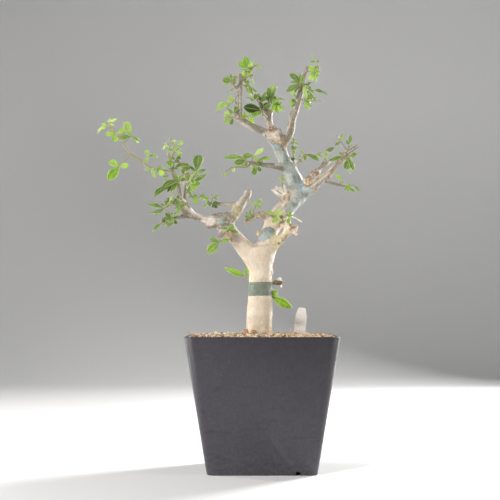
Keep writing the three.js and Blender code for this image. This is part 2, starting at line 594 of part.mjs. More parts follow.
// One drain hole and the channel under the floor that runs from it out to the nearest side
function drain(quarter) {
  const hole = new THREE.CylinderGeometry(drainRadius, drainRadius, potFloor + 2, 12);
  hole.rotateX(Math.PI / 2);
  hole.translate(drainOffset, -drainOffset, potFloor / 2);
  const arch = new THREE.Shape();
  const half = channelWidth / 2;
  arch.moveTo(-half, -1);
  arch.lineTo(half, -1);
  arch.lineTo(half, channelHeight - half);
  arch.absarc(0, channelHeight - half, half, 0, Math.PI, false);
  const channel = new THREE.ExtrudeGeometry(arch, {
    depth: potBottomWidth / 2 - drainOffset + 4, bevelEnabled: false, curveSegments: 5,
  });
  channel.rotateX(Math.PI / 2);
  channel.translate(drainOffset, -drainOffset, 0);
  return union([hole, channel].map((geometry) => solidOf(geometry.rotateZ(quarter * Math.PI / 2))));
}

function pot() {
  const outside = hollowBlock(0, 0, potHeight, potHeight);
  const inside = hollowBlock(potWall, potFloor, potHeight + 2, potHeight + 2);
  return outside.subtract(inside).subtract(union([0, 1, 2, 3].map(drain)));
}

// Height of the gritty soil over the pot's rim, from its middle (0) to its edge (1)
function soilHeight(x, y, outwards) {
  const crown = soilRise * (1 - outwards * outwards);
  const grit = Math.sin(x * 1.9 + y * 0.7) + Math.sin(y * 2.3 - x * 0.9) + Math.sin(x * 0.37 + y * 0.41);
  return potHeight - soilEdgeDrop + crown + gritHeight * grit / 3 * (1 - outwards ** 6);
}

function soil(rootHole, labelSlot) {
  const inset = potWall + seatGap;
  const bottom = potFloor + seatGap;
  const edge = potHeight - soilEdgeDrop;
  const arcSteps = soilRingPoints / 4 - 1;
  const section = (z) => roundedSquare(potWidthAt(z) - 2 * inset, potCornerAt(z) - inset, z, arcSteps);
  const rings = [section(bottom), section(edge)];
  for (let ring = 1; ring < soilRings; ring += 1) {
    const outwards = 1 - ring / soilRings;
    rings.push(section(edge).map(([x, y]) => {
      const [px, py] = [x * outwards, y * outwards];
      return [px, py, soilHeight(px, py, outwards)];
    }));
  }
  const block = loft(rings, [0, 0, bottom], [0, 0, soilHeight(0, 0, 0)]);
  return mainBody(block.subtract(rootHole).subtract(labelSlot));
}

// The label stake, or the slot in the soil that it stands in when it is made larger by grow
function label(grow = 0) {
  const half = labelWidth / 2 + grow;
  const foot = -grow;
  const outline = new THREE.Shape();
  outline.moveTo(-1.5 - grow, foot);
  outline.lineTo(1.5 + grow, foot);
  outline.lineTo(half, 12);
  outline.lineTo(half, labelLength - 8);
  outline.lineTo(half - 1.8, labelLength - 1.4);
  outline.lineTo(half - 3, labelLength);
  outline.lineTo(-half + 3, labelLength);
  outline.lineTo(-half + 1.8, labelLength - 1.4);
  outline.lineTo(-half, labelLength - 8);
  outline.lineTo(-half, 12);
  const geometry = new THREE.ExtrudeGeometry(outline, { depth: labelThickness + 2 * grow, bevelEnabled: false });
  geometry.translate(0, 0, -labelThickness / 2 - grow);
  geometry.rotateX(Math.PI / 2);
  geometry.rotateY(radians(labelLean));
  geometry.translate(...labelSpot);
  return solidOf(geometry);
}

// A thin plate from a triangulated sheet: both faces alike, joined along the sheet's border
function plate(points, faces, offset) {
  const above = points.map((point) => point.clone().add(offset).toArray());
  const below = points.map((point) => point.clone().sub(offset).toArray());
  const count = points.length;
  const edges = new Set(faces.flatMap(([a, b, c]) => [`${a},${b}`, `${b},${c}`, `${c},${a}`]));
  const triangles = [];
  for (const [a, b, c] of faces) {
    triangles.push([a, b, c], [a + count, c + count, b + count]);
  }
  for (const edge of edges) {
    const [a, b] = edge.split(',').map(Number);
    if (!edges.has(`${b},${a}`)) {
      triangles.push([b, a, a + count], [b, a + count, b + count]);
    }
  }
  return solidFrom([...above, ...below], triangles);
}

// Rim of a leaflet one unit long, as [along, across] down its left side. Larger leaves get more points.
function leafletRim(size) {
  if (size >= 11.5) {
    return { rim: [[0.4, 0.23], [0.8, 0.28], [1, 0]], centred: true };
  }
  if (size >= 8.5) {
    return { rim: [[0.5, 0.28], [0.94, 0.19]], centred: false };
  }
  return size >= 6.5 ? { rim: [[0.62, 0.3], [1, 0]], centred: false } : { rim: [[0.85, 0.28]], centred: false };
}

// A leaf sheet in its own plane: x along the middle leaflet, y to its left, z out of its face
function leafSheet(size, spread) {
  const points = [[-hubHalf, hubHalf, 0], [hubHalf, hubHalf, 0], [hubHalf, -hubHalf, 0], [-hubHalf, -hubHalf, 0]];
  const faces = [[0, 3, 2], [0, 2, 1]];
  const { rim, centred } = leafletRim(size);
  const leaflets = [[1, 2, 0, 1], [0, 1, spread, sideLeafletScale], [2, 3, -spread, sideLeafletScale]];
  for (const [from, to, turn, scale] of leaflets) {
    const length = size * scale;
    const heading = radians(turn);
    const place = (along, across) => {
      const lift = length * (0.14 * along - 0.2 * along * along) + Math.abs(across) * length * 0.3;
      const [x, y] = [along * length, across * length];
      return [
        x * Math.cos(heading) - y * Math.sin(heading),
        x * Math.sin(heading) + y * Math.cos(heading),
        lift,
      ];
    };
    const left = rim.filter(([, across]) => across > 0);
    const tip = rim.filter(([, across]) => across === 0);
    const right = left.map(([along, across]) => [along, -across]).reverse();
    const first = points.length;
    points.push(...[...left, ...tip, ...right].map(([along, across]) => place(along, across)));
    const border = [from, ...Array.from({ length: points.length - first }, (_, i) => first + i), to];
    if (centred) {
      points.push(place(0.55, 0));
      const middle = points.length - 1;
      border.forEach((corner, i) => faces.push([border[(i + 1) % border.length], corner, middle]));
    } else {
      let [low, high] = [0, border.length - 1];
      while (high - low > 1) {
        faces.push([border[high], border[low + 1], border[low]]);
        low += 1;
        if (high - low > 1) {
          faces.push([border[high], border[high - 1], border[low]]);
          high -= 1;
        }
      }
    }
  }
  return { points, faces };
}

// Axes of a leaf that heads along angle in the front view, leans away from it and rolls
function leafAxes(angle, lean, roll) {
  const [a, e, r] = [radians(angle), radians(lean), radians(roll)];
  const along = new THREE.Vector3(Math.cos(e) * Math.cos(a), Math.sin(e), Math.cos(e) * Math.sin(a));
  const flat = new THREE.Vector3(-Math.sin(a), 0, Math.cos(a));
  const facing = along.clone().cross(flat);
  const across = flat.clone().multiplyScalar(Math.cos(r)).addScaledVector(facing, Math.sin(r));
  return { along, across, facing: along.clone().cross(across) };
}

// One leaf, its stalk rooted on the shoot's centre line at root
function leaf(root, [, heading, stalk, turn, size, lean, roll, spread = leafletSpread]) {
  const stem = leafAxes(heading, lean, roll);
  const blade = leafAxes(heading + turn, lean, roll);
  const hub = root.clone().addScaledVector(stem.along, stalk + hubHalf);
  const { points, faces } = leafSheet(size, spread);
  const sheet = points.map(([x, y, z]) => hub.clone()
    .addScaledVector(blade.along, x)
    .addScaledVector(blade.across, y)
    .addScaledVector(blade.facing, z));
  const rootLeft = sheet.length;
  sheet.push(root.clone().addScaledVector(stem.across, hubHalf * 0.8));
  sheet.push(root.clone().addScaledVector(stem.across, -hubHalf * 0.8));
  faces.push([rootLeft, rootLeft + 1, 3], [rootLeft, 3, 0]);
  return plate(sheet, faces, blade.facing.clone().multiplyScalar(leafThickness / 2));
}

function stationAt(path, along) {
  const first = Math.min(Math.floor(along), path.length - 2);
  const start = new THREE.Vector3(...path[first]);
  return start.lerp(new THREE.Vector3(...path[first + 1]), along - first);
}

// A shoot with its leaves, cut off just clear of the wood that it grows on
function spray({ path, leaves }, clearWood) {
  const blades = leaves.filter((entry) => entry[4] >= smallestLeaf)
    .map((entry) => leaf(stationAt(path, entry[0]), entry));
  return mainBody(union([branch(path), ...blades]).subtract(clearWood).asOriginal().simplify(smallestLeafFacet));
}

function plastic(colour, roughness) {
  return new THREE.MeshStandardMaterial({ color: colour, roughness, metalness: 0 });
}

const youngGreen = new THREE.Color(0.55, 0.68, 0.3);
const matureGreen = new THREE.Color(0.17, 0.27, 0.13);

const bonsai = new THREE.Group();
bonsai.name = 'commiphora_bonsai';
bonsai.add(mesh('pot', pot(), plastic(0x35363a, 0.6)));
bonsai.add(mesh('soil', soil(branch(limbs.trunk, seatGap), label(seatGap)),
  new THREE.MeshStandardMaterial({ color: 0xb39a78, roughness: 1, metalness: 0 })));
bonsai.add(mesh('tree_wood', wood(), new THREE.MeshStandardMaterial({ color: 0xcbb39c, roughness: 0.75, metalness: 0 })));
bonsai.add(mesh('label', label(), plastic(0xeeeeea, 0.45)));

const clearWood = wood(seatGap + smallestBarkFacet);
for (const [name, shoot] of Object.entries(shoots)) {
  const green = matureGreen.clone().lerp(youngGreen, shoot.tone);
  const material = new THREE.MeshStandardMaterial({ color: green, roughness: 0.7, metalness: 0 });
  bonsai.add(mesh(`spray_${name}`, spray(shoot, clearWood), material));
}

export default bonsai;
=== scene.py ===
# %% [markdown]
# # A commiphora bonsai in a square nursery pot
# This lesson dresses a measured model of a small caudiciform tree: pale smooth wood with healed pruning
# cuts, green shoots of three-part leaves, coarse grit, and a dark tapered plastic pot with a blank label.
# Lengths are written in millimetres, as on a drawing, and are turned into metres where Blender needs them.

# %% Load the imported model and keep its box
import math
import random

import bmesh
import bpy
import numpy as np
from mathutils import Euler, Matrix, Vector, noise


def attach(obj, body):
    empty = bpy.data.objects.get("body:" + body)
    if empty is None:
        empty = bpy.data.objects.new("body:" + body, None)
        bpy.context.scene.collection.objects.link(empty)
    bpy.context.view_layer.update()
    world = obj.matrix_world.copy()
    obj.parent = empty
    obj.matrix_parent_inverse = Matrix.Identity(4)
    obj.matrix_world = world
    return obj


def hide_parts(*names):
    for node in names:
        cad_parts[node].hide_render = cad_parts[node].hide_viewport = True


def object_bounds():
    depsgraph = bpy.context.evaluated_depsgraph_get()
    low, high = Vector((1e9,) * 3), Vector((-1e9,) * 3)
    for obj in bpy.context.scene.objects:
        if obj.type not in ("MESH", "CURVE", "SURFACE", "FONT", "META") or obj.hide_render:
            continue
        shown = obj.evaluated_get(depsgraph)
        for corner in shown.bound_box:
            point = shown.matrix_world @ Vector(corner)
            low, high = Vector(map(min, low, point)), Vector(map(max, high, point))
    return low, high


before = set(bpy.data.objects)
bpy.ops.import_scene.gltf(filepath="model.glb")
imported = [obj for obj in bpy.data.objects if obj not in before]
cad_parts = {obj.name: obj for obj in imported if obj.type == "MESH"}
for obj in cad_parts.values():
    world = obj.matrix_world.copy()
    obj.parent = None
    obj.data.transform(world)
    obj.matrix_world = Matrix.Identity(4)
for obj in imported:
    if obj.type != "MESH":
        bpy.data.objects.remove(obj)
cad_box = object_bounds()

MM = 0.001
scene = bpy.context.scene
print("the packed model spans", [tuple(round(c, 4) for c in corner) for corner in cad_box])

# %% [markdown]
# ## Camera
# The tree was seen from the front, a little below the middle of its crown, with a long lens. A long lens
# far away keeps the pot's sides nearly parallel, so the camera stands over a metre off and looks up by
# two and a half degrees. Tilting it does what a shift would, without bending the other views.

# %% The camera
CAMERA_PLACE, CAMERA_TILT, FOCAL_LENGTH = (-0.0102, -1.150, 0.1424), 92.4, 94.6
bpy.ops.object.camera_add(location=CAMERA_PLACE, rotation=(math.radians(CAMERA_TILT), 0, 0))
camera = bpy.context.object
camera.name = "camera"
camera.data.lens = FOCAL_LENGTH
camera.data.sensor_width = 36
camera.data.clip_start = 0.05
scene.camera = camera
print("camera at", tuple(round(c, 4) for c in camera.location))

# %% [markdown]
# ## Studio
# A plant with pale wood and translucent leaves reads best with a broad light from the front left. A strip at
# the left models the limbs, two lights behind the tree draw the bright lines down its edges, and a weak one
# fills the right side. The floor is a plain pale sheet that curves up behind the tree, so no horizon cuts
# through the pot. It is made by extruding the back edge of a plane in short steps along an arc.
# Three helpers come first: they add a shape, select in edit mode by a rule, and set a node's inputs.

# %% Add a shape, select in edit mode, set a node's inputs
def add_shape(name, operator, **settings):
    """Adds a primitive mesh by its operator and names it."""
    bpy.ops.object.select_all(action="DESELECT")
    operator(**settings)
    bpy.context.object.name = name
    return bpy.context.object


def select_in_edit(mesh, kind, wanted):
    """Selects the vertices, edges or faces that wanted says yes to, and nothing else."""
    bpy.context.tool_settings.mesh_select_mode = [kind == each for each in ("verts", "edges", "faces")]
    shape = bmesh.from_edit_mesh(mesh)
    for part in (*shape.verts, *shape.edges, *shape.faces):
        part.select = False
    for part in getattr(shape, kind):
        if wanted(part):
            part.select_set(True)
    shape.select_flush_mode()
    bmesh.update_edit_mesh(mesh)


def set_inputs(node, values):
    """Sets or links each of a node's named or numbered inputs. A colour may be given by three numbers."""
    for name, value in values.items():
        socket = node.inputs[name]
        if isinstance(value, bpy.types.NodeSocket):
            node.id_data.links.new(value, socket)
        else:
            socket.default_value = (*value, 1) if socket.type == "RGBA" and len(value) == 3 else value


print("ready to add and select")

# %% A pale floor that curves up behind the tree
FLOOR_SIZE, FLOOR_MOVE, BACK_EDGE = (7, 3.2, 1), (0, -0.4, 0), 1.1
ARC_STEPS, ARC_REACH, WALL_REACH = 9, 0.12, 2.6
floor = add_shape("studio_floor", bpy.ops.mesh.primitive_plane_add, size=1)
bpy.ops.object.mode_set(mode="EDIT")
bpy.ops.transform.resize(value=FLOOR_SIZE)
bpy.ops.transform.translate(value=FLOOR_MOVE)
select_in_edit(floor.data, "edges", lambda e: all(corner.co.y > BACK_EDGE for corner in e.verts))
for step in range(ARC_STEPS + 1):
    rise = math.radians((step + 0.5) * 90 / (ARC_STEPS + 1))
    reach = ARC_REACH if step < ARC_STEPS else WALL_REACH
    bpy.ops.mesh.extrude_edges_move(
        TRANSFORM_OT_translate={"value": (0, reach * math.cos(rise), reach * math.sin(rise))})
bpy.ops.object.mode_set(mode="OBJECT")
bpy.ops.object.shade_smooth()
paper = bpy.data.materials.new("studio_paper")
paper.use_nodes = True
set_inputs(paper.node_tree.nodes["Principled BSDF"], {"Base Color": (0.78, 0.78, 0.78), "Roughness": 0.9})
floor.data.materials.append(paper)
print("floor has", len(floor.data.polygons), "faces")

# %% Softboxes and the light of the room
# Each lamp: where it stands, the height on the tree's axis that it looks at, its size, power and colour
lamps = {
    "key_light": ((-0.6, -1.12, 0.95), 0.26, (0.3, 0.3), 15, (1.0, 0.98, 0.95)),
    "strip_light": ((-0.75, -0.4, 0.2), 0.18, (0.12, 0.6), 4.0, (1.0, 0.98, 0.96)),
    "rim_light": ((0.77, 0.8, 0.48), 0.2, (0.3, 0.7), 30, (1.0, 0.99, 0.98)),
    "edge_light": ((-0.95, 0.4, 0.28), 0.18, (0.15, 0.6), 6.5, (1.0, 0.99, 0.98)),
    "fill_light": ((1.05, -0.36, 0.28), 0.18, (0.4, 0.4), 4.2, (1.0, 0.98, 0.95)),
}
for name, (place, target, size, power, colour) in lamps.items():
    bpy.ops.object.light_add(type="AREA", location=place)
    lamp = bpy.context.object
    lamp.name = name
    lamp.rotation_euler = (Vector((0, 0, target)) - Vector(place)).to_track_quat("-Z", "Y").to_euler()
    lamp.data.shape = "RECTANGLE"
    lamp.data.size, lamp.data.size_y = size
    lamp.data.energy = power
    lamp.data.color = colour
world = bpy.data.worlds.new("studio_world")
world.use_nodes = True
set_inputs(world.node_tree.nodes["Background"], {"Color": (0.86, 0.88, 0.9), "Strength": 0.13})
scene.world = world
scene.view_settings.view_transform = "Standard"
print(len(lamps), "softboxes and a pale room")

# %% [markdown]
# ## Pot
# The pot is an injection-moulded nursery pot: a thin-walled square funnel with rounded corners, a slim
# rolled rim and drain channels under its floor. Starting from a cube, its upright edges are bevelled, the
# top is widened, and the mouth is inset and pushed down for the wall. The channels are cut afterwards with
# booleans, because an arch is easier to subtract than to draw into the side.

# %% Pot sizes
POT_TOP, POT_BOTTOM, POT_HEIGHT = 130, 93, 116
POT_WALL, POT_FLOOR, POT_CORNER = 2.5, 5, 6.5
RIM_ROLL, FOOT_ROLL = 0.7, 0.9
DRAIN_OFFSET, DRAIN_RADIUS, DRAIN_DEPTH = 30, 4, 14
CHANNEL_WIDTH, CHANNEL_HEIGHT, CHANNEL_OVERLAP = 4, 3.5, 6


def pot_width(z):
    return POT_BOTTOM + (POT_TOP - POT_BOTTOM) * z / POT_HEIGHT


print("the pot widens from", POT_BOTTOM, "to", POT_TOP, "mm")

# %% The tapered block with rounded corners
pot = add_shape("nursery_pot", bpy.ops.mesh.primitive_cube_add, size=1, location=(0, 0, 0))
bpy.ops.object.mode_set(mode="EDIT")
bpy.ops.transform.resize(value=(POT_BOTTOM * MM, POT_BOTTOM * MM, POT_HEIGHT * MM))
bpy.ops.transform.translate(value=(0, 0, POT_HEIGHT * MM / 2))
select_in_edit(pot.data, "edges", lambda e: abs(e.verts[0].co.z - e.verts[1].co.z) > 0.01)
bpy.ops.mesh.bevel(offset=POT_CORNER * MM, segments=7, affect="EDGES")
select_in_edit(pot.data, "verts", lambda v: v.co.z > 0.1)
bpy.ops.transform.resize(value=(POT_TOP / POT_BOTTOM, POT_TOP / POT_BOTTOM, 1))
print("outside:", len(pot.data.vertices), "points before the wall")

# %% The wall, the floor and a rolled rim
select_in_edit(pot.data, "faces", lambda f: f.normal.z > 0.9)
bpy.ops.mesh.inset(thickness=POT_WALL * MM, depth=0)
bpy.ops.mesh.extrude_region_move(TRANSFORM_OT_translate={"value": (0, 0, -(POT_HEIGHT - POT_FLOOR) * MM)})
inside_shrink = (pot_width(POT_FLOOR) - 2 * POT_WALL) / (POT_TOP - 2 * POT_WALL)
bpy.ops.transform.resize(value=(inside_shrink, inside_shrink, 1))
select_in_edit(pot.data, "edges", lambda e: all(v.co.z > (POT_HEIGHT - 0.01) * MM for v in e.verts)
               and len({round(f.normal.z) for f in e.link_faces}) > 1)
bpy.ops.mesh.bevel(offset=RIM_ROLL * MM, segments=3, affect="EDGES")
select_in_edit(pot.data, "edges", lambda e: all(v.co.z < 0.01 * MM for v in e.verts))
bpy.ops.mesh.bevel(offset=FOOT_ROLL * MM, segments=2, affect="EDGES")
bpy.ops.object.mode_set(mode="OBJECT")
print("pot wall:", len(pot.data.polygons), "faces")


# %% Cut the drain channels and holes
def take(*pieces):
    """Selects these pieces and nothing else, and makes the first one active."""
    bpy.ops.object.select_all(action="DESELECT")
    for piece in pieces:
        piece.select_set(True)
    bpy.context.view_layer.objects.active = pieces[0]


def modify(piece, name, kind, **settings):
    """Gives a piece a modifier with its settings."""
    modifier = piece.modifiers.new(name, kind)
    for setting, value in settings.items():
        setattr(modifier, setting, value)


def apply_modifiers(piece):
    take(piece)
    for modifier in list(piece.modifiers):
        bpy.ops.object.modifier_apply(modifier=modifier.name)


def triangles_in(piece):
    return sum(len(face.vertices) - 2 for face in piece.data.polygons)


def cut_pot(cutter):
    modify(pot, "cut", "BOOLEAN", operation="DIFFERENCE", solver="EXACT", object=cutter)
    apply_modifiers(pot)
    bpy.data.objects.remove(cutter)


for quarter in range(4):
    turn = quarter * math.pi / 2
    at = Matrix.Rotation(turn, 3, "Z") @ Vector((DRAIN_OFFSET, -DRAIN_OFFSET, 0)) * MM
    outwards = Matrix.Rotation(turn, 3, "Z") @ Vector((0, -1, 0))
    cut_pot(add_shape("drain", bpy.ops.mesh.primitive_cylinder_add, vertices=28, radius=DRAIN_RADIUS * MM,
                      depth=DRAIN_DEPTH * MM, location=at))
    run = (POT_BOTTOM / 2 - DRAIN_OFFSET + CHANNEL_OVERLAP) * MM
    bpy.ops.mesh.primitive_cylinder_add(vertices=24, radius=CHANNEL_WIDTH / 2 * MM, depth=run,
                                        location=at + outwards * run / 2, rotation=(math.pi / 2, 0, turn))
    channel = bpy.context.object
    bpy.ops.object.transform_apply(location=True, rotation=True, scale=True)
    arch_middle = (CHANNEL_HEIGHT - CHANNEL_WIDTH / 2) * MM
    for corner in channel.data.vertices:
        below = corner.co.z < -0.01 * MM
        corner.co.z += arch_middle - (3 * MM if below else 0)
    cut_pot(channel)
print("pot with drains:", triangles_in(pot), "triangles")

# %% [markdown]
# ## Helpers for materials
# Every finish here is a node tree, so a small helper adds a node, sets its plain values and links the
# rest. The helpers add to the tree that was begun last. Two effects serve several finishes and become node
# groups: a cloudy tint that varies between two colours, and specks that are scattered thinly over a surface.


# %% Node helpers
def add_node(kind, values=None, **settings):
    """Adds a node to the tree, sets its settings, and sets or links its inputs."""
    node = tree.nodes.new(kind)
    for name, value in settings.items():
        setattr(node, name, value)
    set_inputs(node, values or {})
    return node


def new_material(name):
    """Begins a material: its tree, its surface and the place on the piece, in object coordinates."""
    global tree, surface, where
    material = bpy.data.materials.new(name)
    material.use_nodes = True
    tree = material.node_tree
    tree.nodes.clear()
    surface = add_node("ShaderNodeBsdfPrincipled")
    add_node("ShaderNodeOutputMaterial", {"Surface": surface.outputs["BSDF"]})
    where = add_node("ShaderNodeTexCoord").outputs["Object"]
    return material


def maths(operation, first, second=0.0):
    return add_node("ShaderNodeMath", {0: first, 1: second}, operation=operation).outputs[0]


def times(first, second):
    return maths("MULTIPLY", first, second)


def blend(amount, first, second, mode="MIX"):
    return add_node("ShaderNodeMix", {0: amount, 6: first, 7: second}, data_type="RGBA", blend_type=mode).outputs[2]


def coats(colour, *layers):
    """Lays coats over a colour. Each is one or more amounts, which are multiplied, and then its own colour."""
    for amount, *more, coat in layers:
        for other in more:
            amount = times(amount, other)
        colour = blend(amount, colour, coat)
    return colour


def fade(value, low, high, at_low=0.0, at_high=1.0):
    """Turns a value that runs from low to high into one that eases from at_low to at_high."""
    return add_node("ShaderNodeMapRange", {0: value, 1: low, 2: high, 3: at_low, 4: at_high},
                    interpolation_type="SMOOTHSTEP").outputs[0]


def clouds(scale, detail=3.0, rough=0.55, vector=None):
    return add_node("ShaderNodeTexNoise", {"Vector": where if vector is None else vector, "Scale": scale,
                                           "Detail": detail, "Roughness": rough}).outputs["Fac"]


def split(vector):
    return add_node("ShaderNodeSeparateXYZ", {0: vector}).outputs


def stretch(x, y, z):
    """The place on the piece, with each axis scaled by its own number."""
    return add_node("ShaderNodeMapping", {"Vector": where, "Scale": (x, y, z)}).outputs[0]


def finish(colour, gloss, height, strength, depth, plain=None):
    """Ends a material: its colour, its roughness, a bump of some strength and depth, and plain values."""
    relief = add_node("ShaderNodeBump", {"Height": height, "Strength": strength, "Distance": depth}).outputs[0]
    set_inputs(surface, {"Base Color": colour, "Roughness": gloss, "Normal": relief, **(plain or {})})


print("material helpers ready")


# %% Two effects that several finishes share
def new_group(name, inputs, output):
    """Begins a node group with one output, and gives its inputs' sockets and its last node."""
    global tree
    tree = bpy.data.node_groups.new(name, "ShaderNodeTree")
    for label, kind in inputs.items():
        tree.interface.new_socket(label, in_out="INPUT", socket_type="NodeSocket" + kind)
    tree.interface.new_socket(output[0], in_out="OUTPUT", socket_type="NodeSocket" + output[1])
    return tree, tree.nodes.new("NodeGroupInput").outputs, tree.nodes.new("NodeGroupOutput")


cloudy_tint, entry, leave = new_group(
    "cloudy_tint", {"Vector": "Vector", "Scale": "Float", "First": "Color", "Second": "Color"}, ("Colour", "Color"))
mask = fade(clouds(entry["Scale"], 5.0, 0.6, entry["Vector"]), 0.34, 0.66)
set_inputs(leave, {"Colour": blend(mask, entry["First"], entry["Second"])})

specks, entry, leave = new_group("specks", {"Vector": "Vector", "Scale": "Float", "Share": "Float"}, ("Mask", "Float"))
cell = add_node("ShaderNodeTexVoronoi", {"Vector": entry["Vector"], "Scale": entry["Scale"]})
chance = add_node("ShaderNodeSeparateColor", {"Color": cell.outputs["Color"]}).outputs[0]
near = fade(cell.outputs["Distance"], 0.18, 0.34, 1.0, 0.0)
set_inputs(leave, {"Mask": times(maths("LESS_THAN", chance, entry["Share"]), near)})
print("node groups:", cloudy_tint.name, specks.name)


def tint(scale, first, second):
    return add_node("ShaderNodeGroup", node_tree=cloudy_tint, values={
        "Vector": where, "Scale": scale, "First": first, "Second": second}).outputs["Colour"]


def scatter(scale, share):
    return add_node("ShaderNodeGroup", node_tree=specks, values={
        "Vector": where, "Scale": scale, "Share": share}).outputs["Mask"]


# %% [markdown]
# ### Pot plastic
# The real pot is dark grey recycled plastic with a matte, slightly mottled skin. Painted light and shade make it
# lighter towards its left side and its foot and darker towards its right side and rim. A cloudy tint keeps the flat
# sides from looking painted, fine noise in the bump
# gives the moulded grain, and pale stretched scratches, specks and a film of dust near the foot show that it
# has been handled and watered.

# %% The plastic
def dress(piece, material, slot, *nodes):
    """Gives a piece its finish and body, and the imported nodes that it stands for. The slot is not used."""
    piece.data.materials.clear()
    piece.data.materials.append(material)
    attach(piece, "root")
    if nodes:
        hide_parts(*nodes)


pot_plastic = new_material("pot_plastic")
across, _, height = split(where)
skin = tint(420, (0.031, 0.028, 0.037), (0.040, 0.037, 0.047))
# Painted light and shade: two of these fades make the plastic lighter towards the foot and the left side, and darker
# towards the rim and the right side.
for shade in (tint(26, (0.92, 0.92, 0.92), (1.07, 1.07, 1.07)),
              fade(height, 0.005, 0.115, 1.25, 0.8), fade(across, -0.06, 0.05, 1.2, 0.84)):
    skin = blend(1.0, skin, shade, "MULTIPLY")
skin = coats(
    skin,
    (fade(clouds(420, 2, vector=stretch(1, 1, 0.09)), 0.6, 0.74), 0.04, (0.2, 0.195, 0.19)),
    (fade(height, 0, 0.03, 0.2, 0), fade(clouds(320), 0.35, 0.7), (0.15, 0.14, 0.14)),
    (scatter(620, 0.05), 0.18, (0.2, 0.18, 0.16)),
    (fade(clouds(300, 3, 0.6, stretch(0.22, 0.22, 1)), 0.56, 0.72), 0.55, (0.018, 0.017, 0.021)))
finish(skin, fade(clouds(150), 0.3, 0.7, 0.32, 0.44), clouds(2600), 0.16, 0.0004, {"Specular IOR Level": 0.6})
take(pot)
bpy.ops.object.shade_smooth_by_angle(angle=math.radians(32))
dress(pot, pot_plastic, "pot", "pot")
print("pot dressed in", pot_plastic.name)

# %% [markdown]
# ## Soil
# The pot is filled with a dry, coarse mix of pumice, baked clay and husk, heaped a little round the trunk.
# A grid gives the mound, shaped by nearly the same height as the measured solid, and its rim is extruded down
# into the pot. On top lie some thousands of separate chips: a few rough stones and splinters are modelled
# once, and every copy has its own turn, size and colour.

# %% How high the soil lies
SOIL_DROP, SOIL_RISE, GRIT_HEIGHT = 0.8, 2.0, 0.7
SOIL_INSET, SOIL_CORNER, SOIL_SINK, SOIL_GAP = 2.8, 5.2, 0.35, 0.3
SOIL_ROUGH, LUMP_SCALE = 0.5, 0.6
SOIL_EDGE = POT_HEIGHT - SOIL_DROP
SOIL_HALF = (pot_width(SOIL_EDGE) - 2 * SOIL_INSET) / 2
HOLLOW_PLACE, HOLLOW_DEPTH, HOLLOW_SPREAD = -59, 2.4, 70


def soil_height(x, y):
    outwards = min(1, max(abs(x), abs(y)) / SOIL_HALF)
    ripple = math.sin(x * 1.9 + y * 0.7) + math.sin(y * 2.3 - x * 0.9) + math.sin(x * 0.37 + y * 0.41)
    hollow = HOLLOW_DEPTH * math.exp(-((x - HOLLOW_PLACE) ** 2 + (y - HOLLOW_PLACE) ** 2) / HOLLOW_SPREAD)
    return SOIL_EDGE + SOIL_RISE * (1 - outwards ** 2) + GRIT_HEIGHT * ripple / 3 * (1 - outwards ** 6) - hollow


print("soil is", round(soil_height(0, 0), 1), "mm high at the middle")


# %% The mound
def turn_outwards(piece):
    """Turns all normals of a piece outwards."""
    bpy.ops.object.mode_set(mode="EDIT")
    bpy.ops.mesh.select_all(action="SELECT")
    bpy.ops.mesh.normals_make_consistent(inside=False)
    bpy.ops.object.mode_set(mode="OBJECT")


soil = add_shape("soil_mound", bpy.ops.mesh.primitive_grid_add, x_subdivisions=72, y_subdivisions=72, size=1)
straight = SOIL_HALF - SOIL_CORNER
for point in soil.data.vertices:
    x, y = point.co.x * 2 * SOIL_HALF, point.co.y * 2 * SOIL_HALF
    past_x, past_y = abs(x) - straight, abs(y) - straight
    if past_x > 0 and past_y > 0:
        pull = max(past_x, past_y) / math.hypot(past_x, past_y)
        x = math.copysign(straight + past_x * pull, x)
        y = math.copysign(straight + past_y * pull, y)
    rough = SOIL_ROUGH * noise.noise(Vector((x, y, 0)) * LUMP_SCALE)
    point.co = Vector((x, y, soil_height(x, y) + rough - SOIL_SINK)) * MM
bpy.ops.object.mode_set(mode="EDIT")
select_in_edit(soil.data, "edges", lambda e: len(e.link_faces) == 1)
bpy.ops.mesh.extrude_edges_move(TRANSFORM_OT_translate={"value": (0, 0, -(SOIL_EDGE - POT_FLOOR - SOIL_GAP) * MM)})
bottom_shrink = (pot_width(POT_FLOOR) / 2 - SOIL_INSET) / SOIL_HALF
bpy.ops.transform.resize(value=(bottom_shrink, bottom_shrink, 1))
bpy.ops.mesh.edge_face_add()
turn_outwards(soil)
bpy.ops.object.shade_smooth_by_angle(angle=math.radians(50))
print("mound:", triangles_in(soil), "triangles")


# %% Chips, splinters and husks, modelled once
def squeeze(piece, value):
    bpy.ops.object.mode_set(mode="EDIT")
    bpy.ops.transform.resize(value=value)
    bpy.ops.object.mode_set(mode="OBJECT")


def chip(name, flatness, roughness, seed):
    """A broken stone: a small ico sphere, squeezed and dented."""
    stone = add_shape(name, bpy.ops.mesh.primitive_ico_sphere_add, subdivisions=1, radius=1)
    draw = random.Random(seed)
    squeeze(stone, flatness)
    for corner in stone.data.vertices:
        corner.co *= 1 + draw.uniform(-roughness, roughness)
    return stone


def splinter(name, slim, bow, seed):
    """A bit of husk: a six-sided rod, pinched at its ends and slightly bowed."""
    rod = add_shape(name, bpy.ops.mesh.primitive_cylinder_add, vertices=6, radius=1, depth=2)
    draw = random.Random(seed)
    squeeze(rod, (slim, slim * 0.5, 1))
    for corner in rod.data.vertices:
        pinch = draw.uniform(0.35, 1.0)
        corner.co.x = corner.co.x * pinch + bow * corner.co.z ** 2
        corner.co.z *= draw.uniform(0.8, 1.1)
    return rod


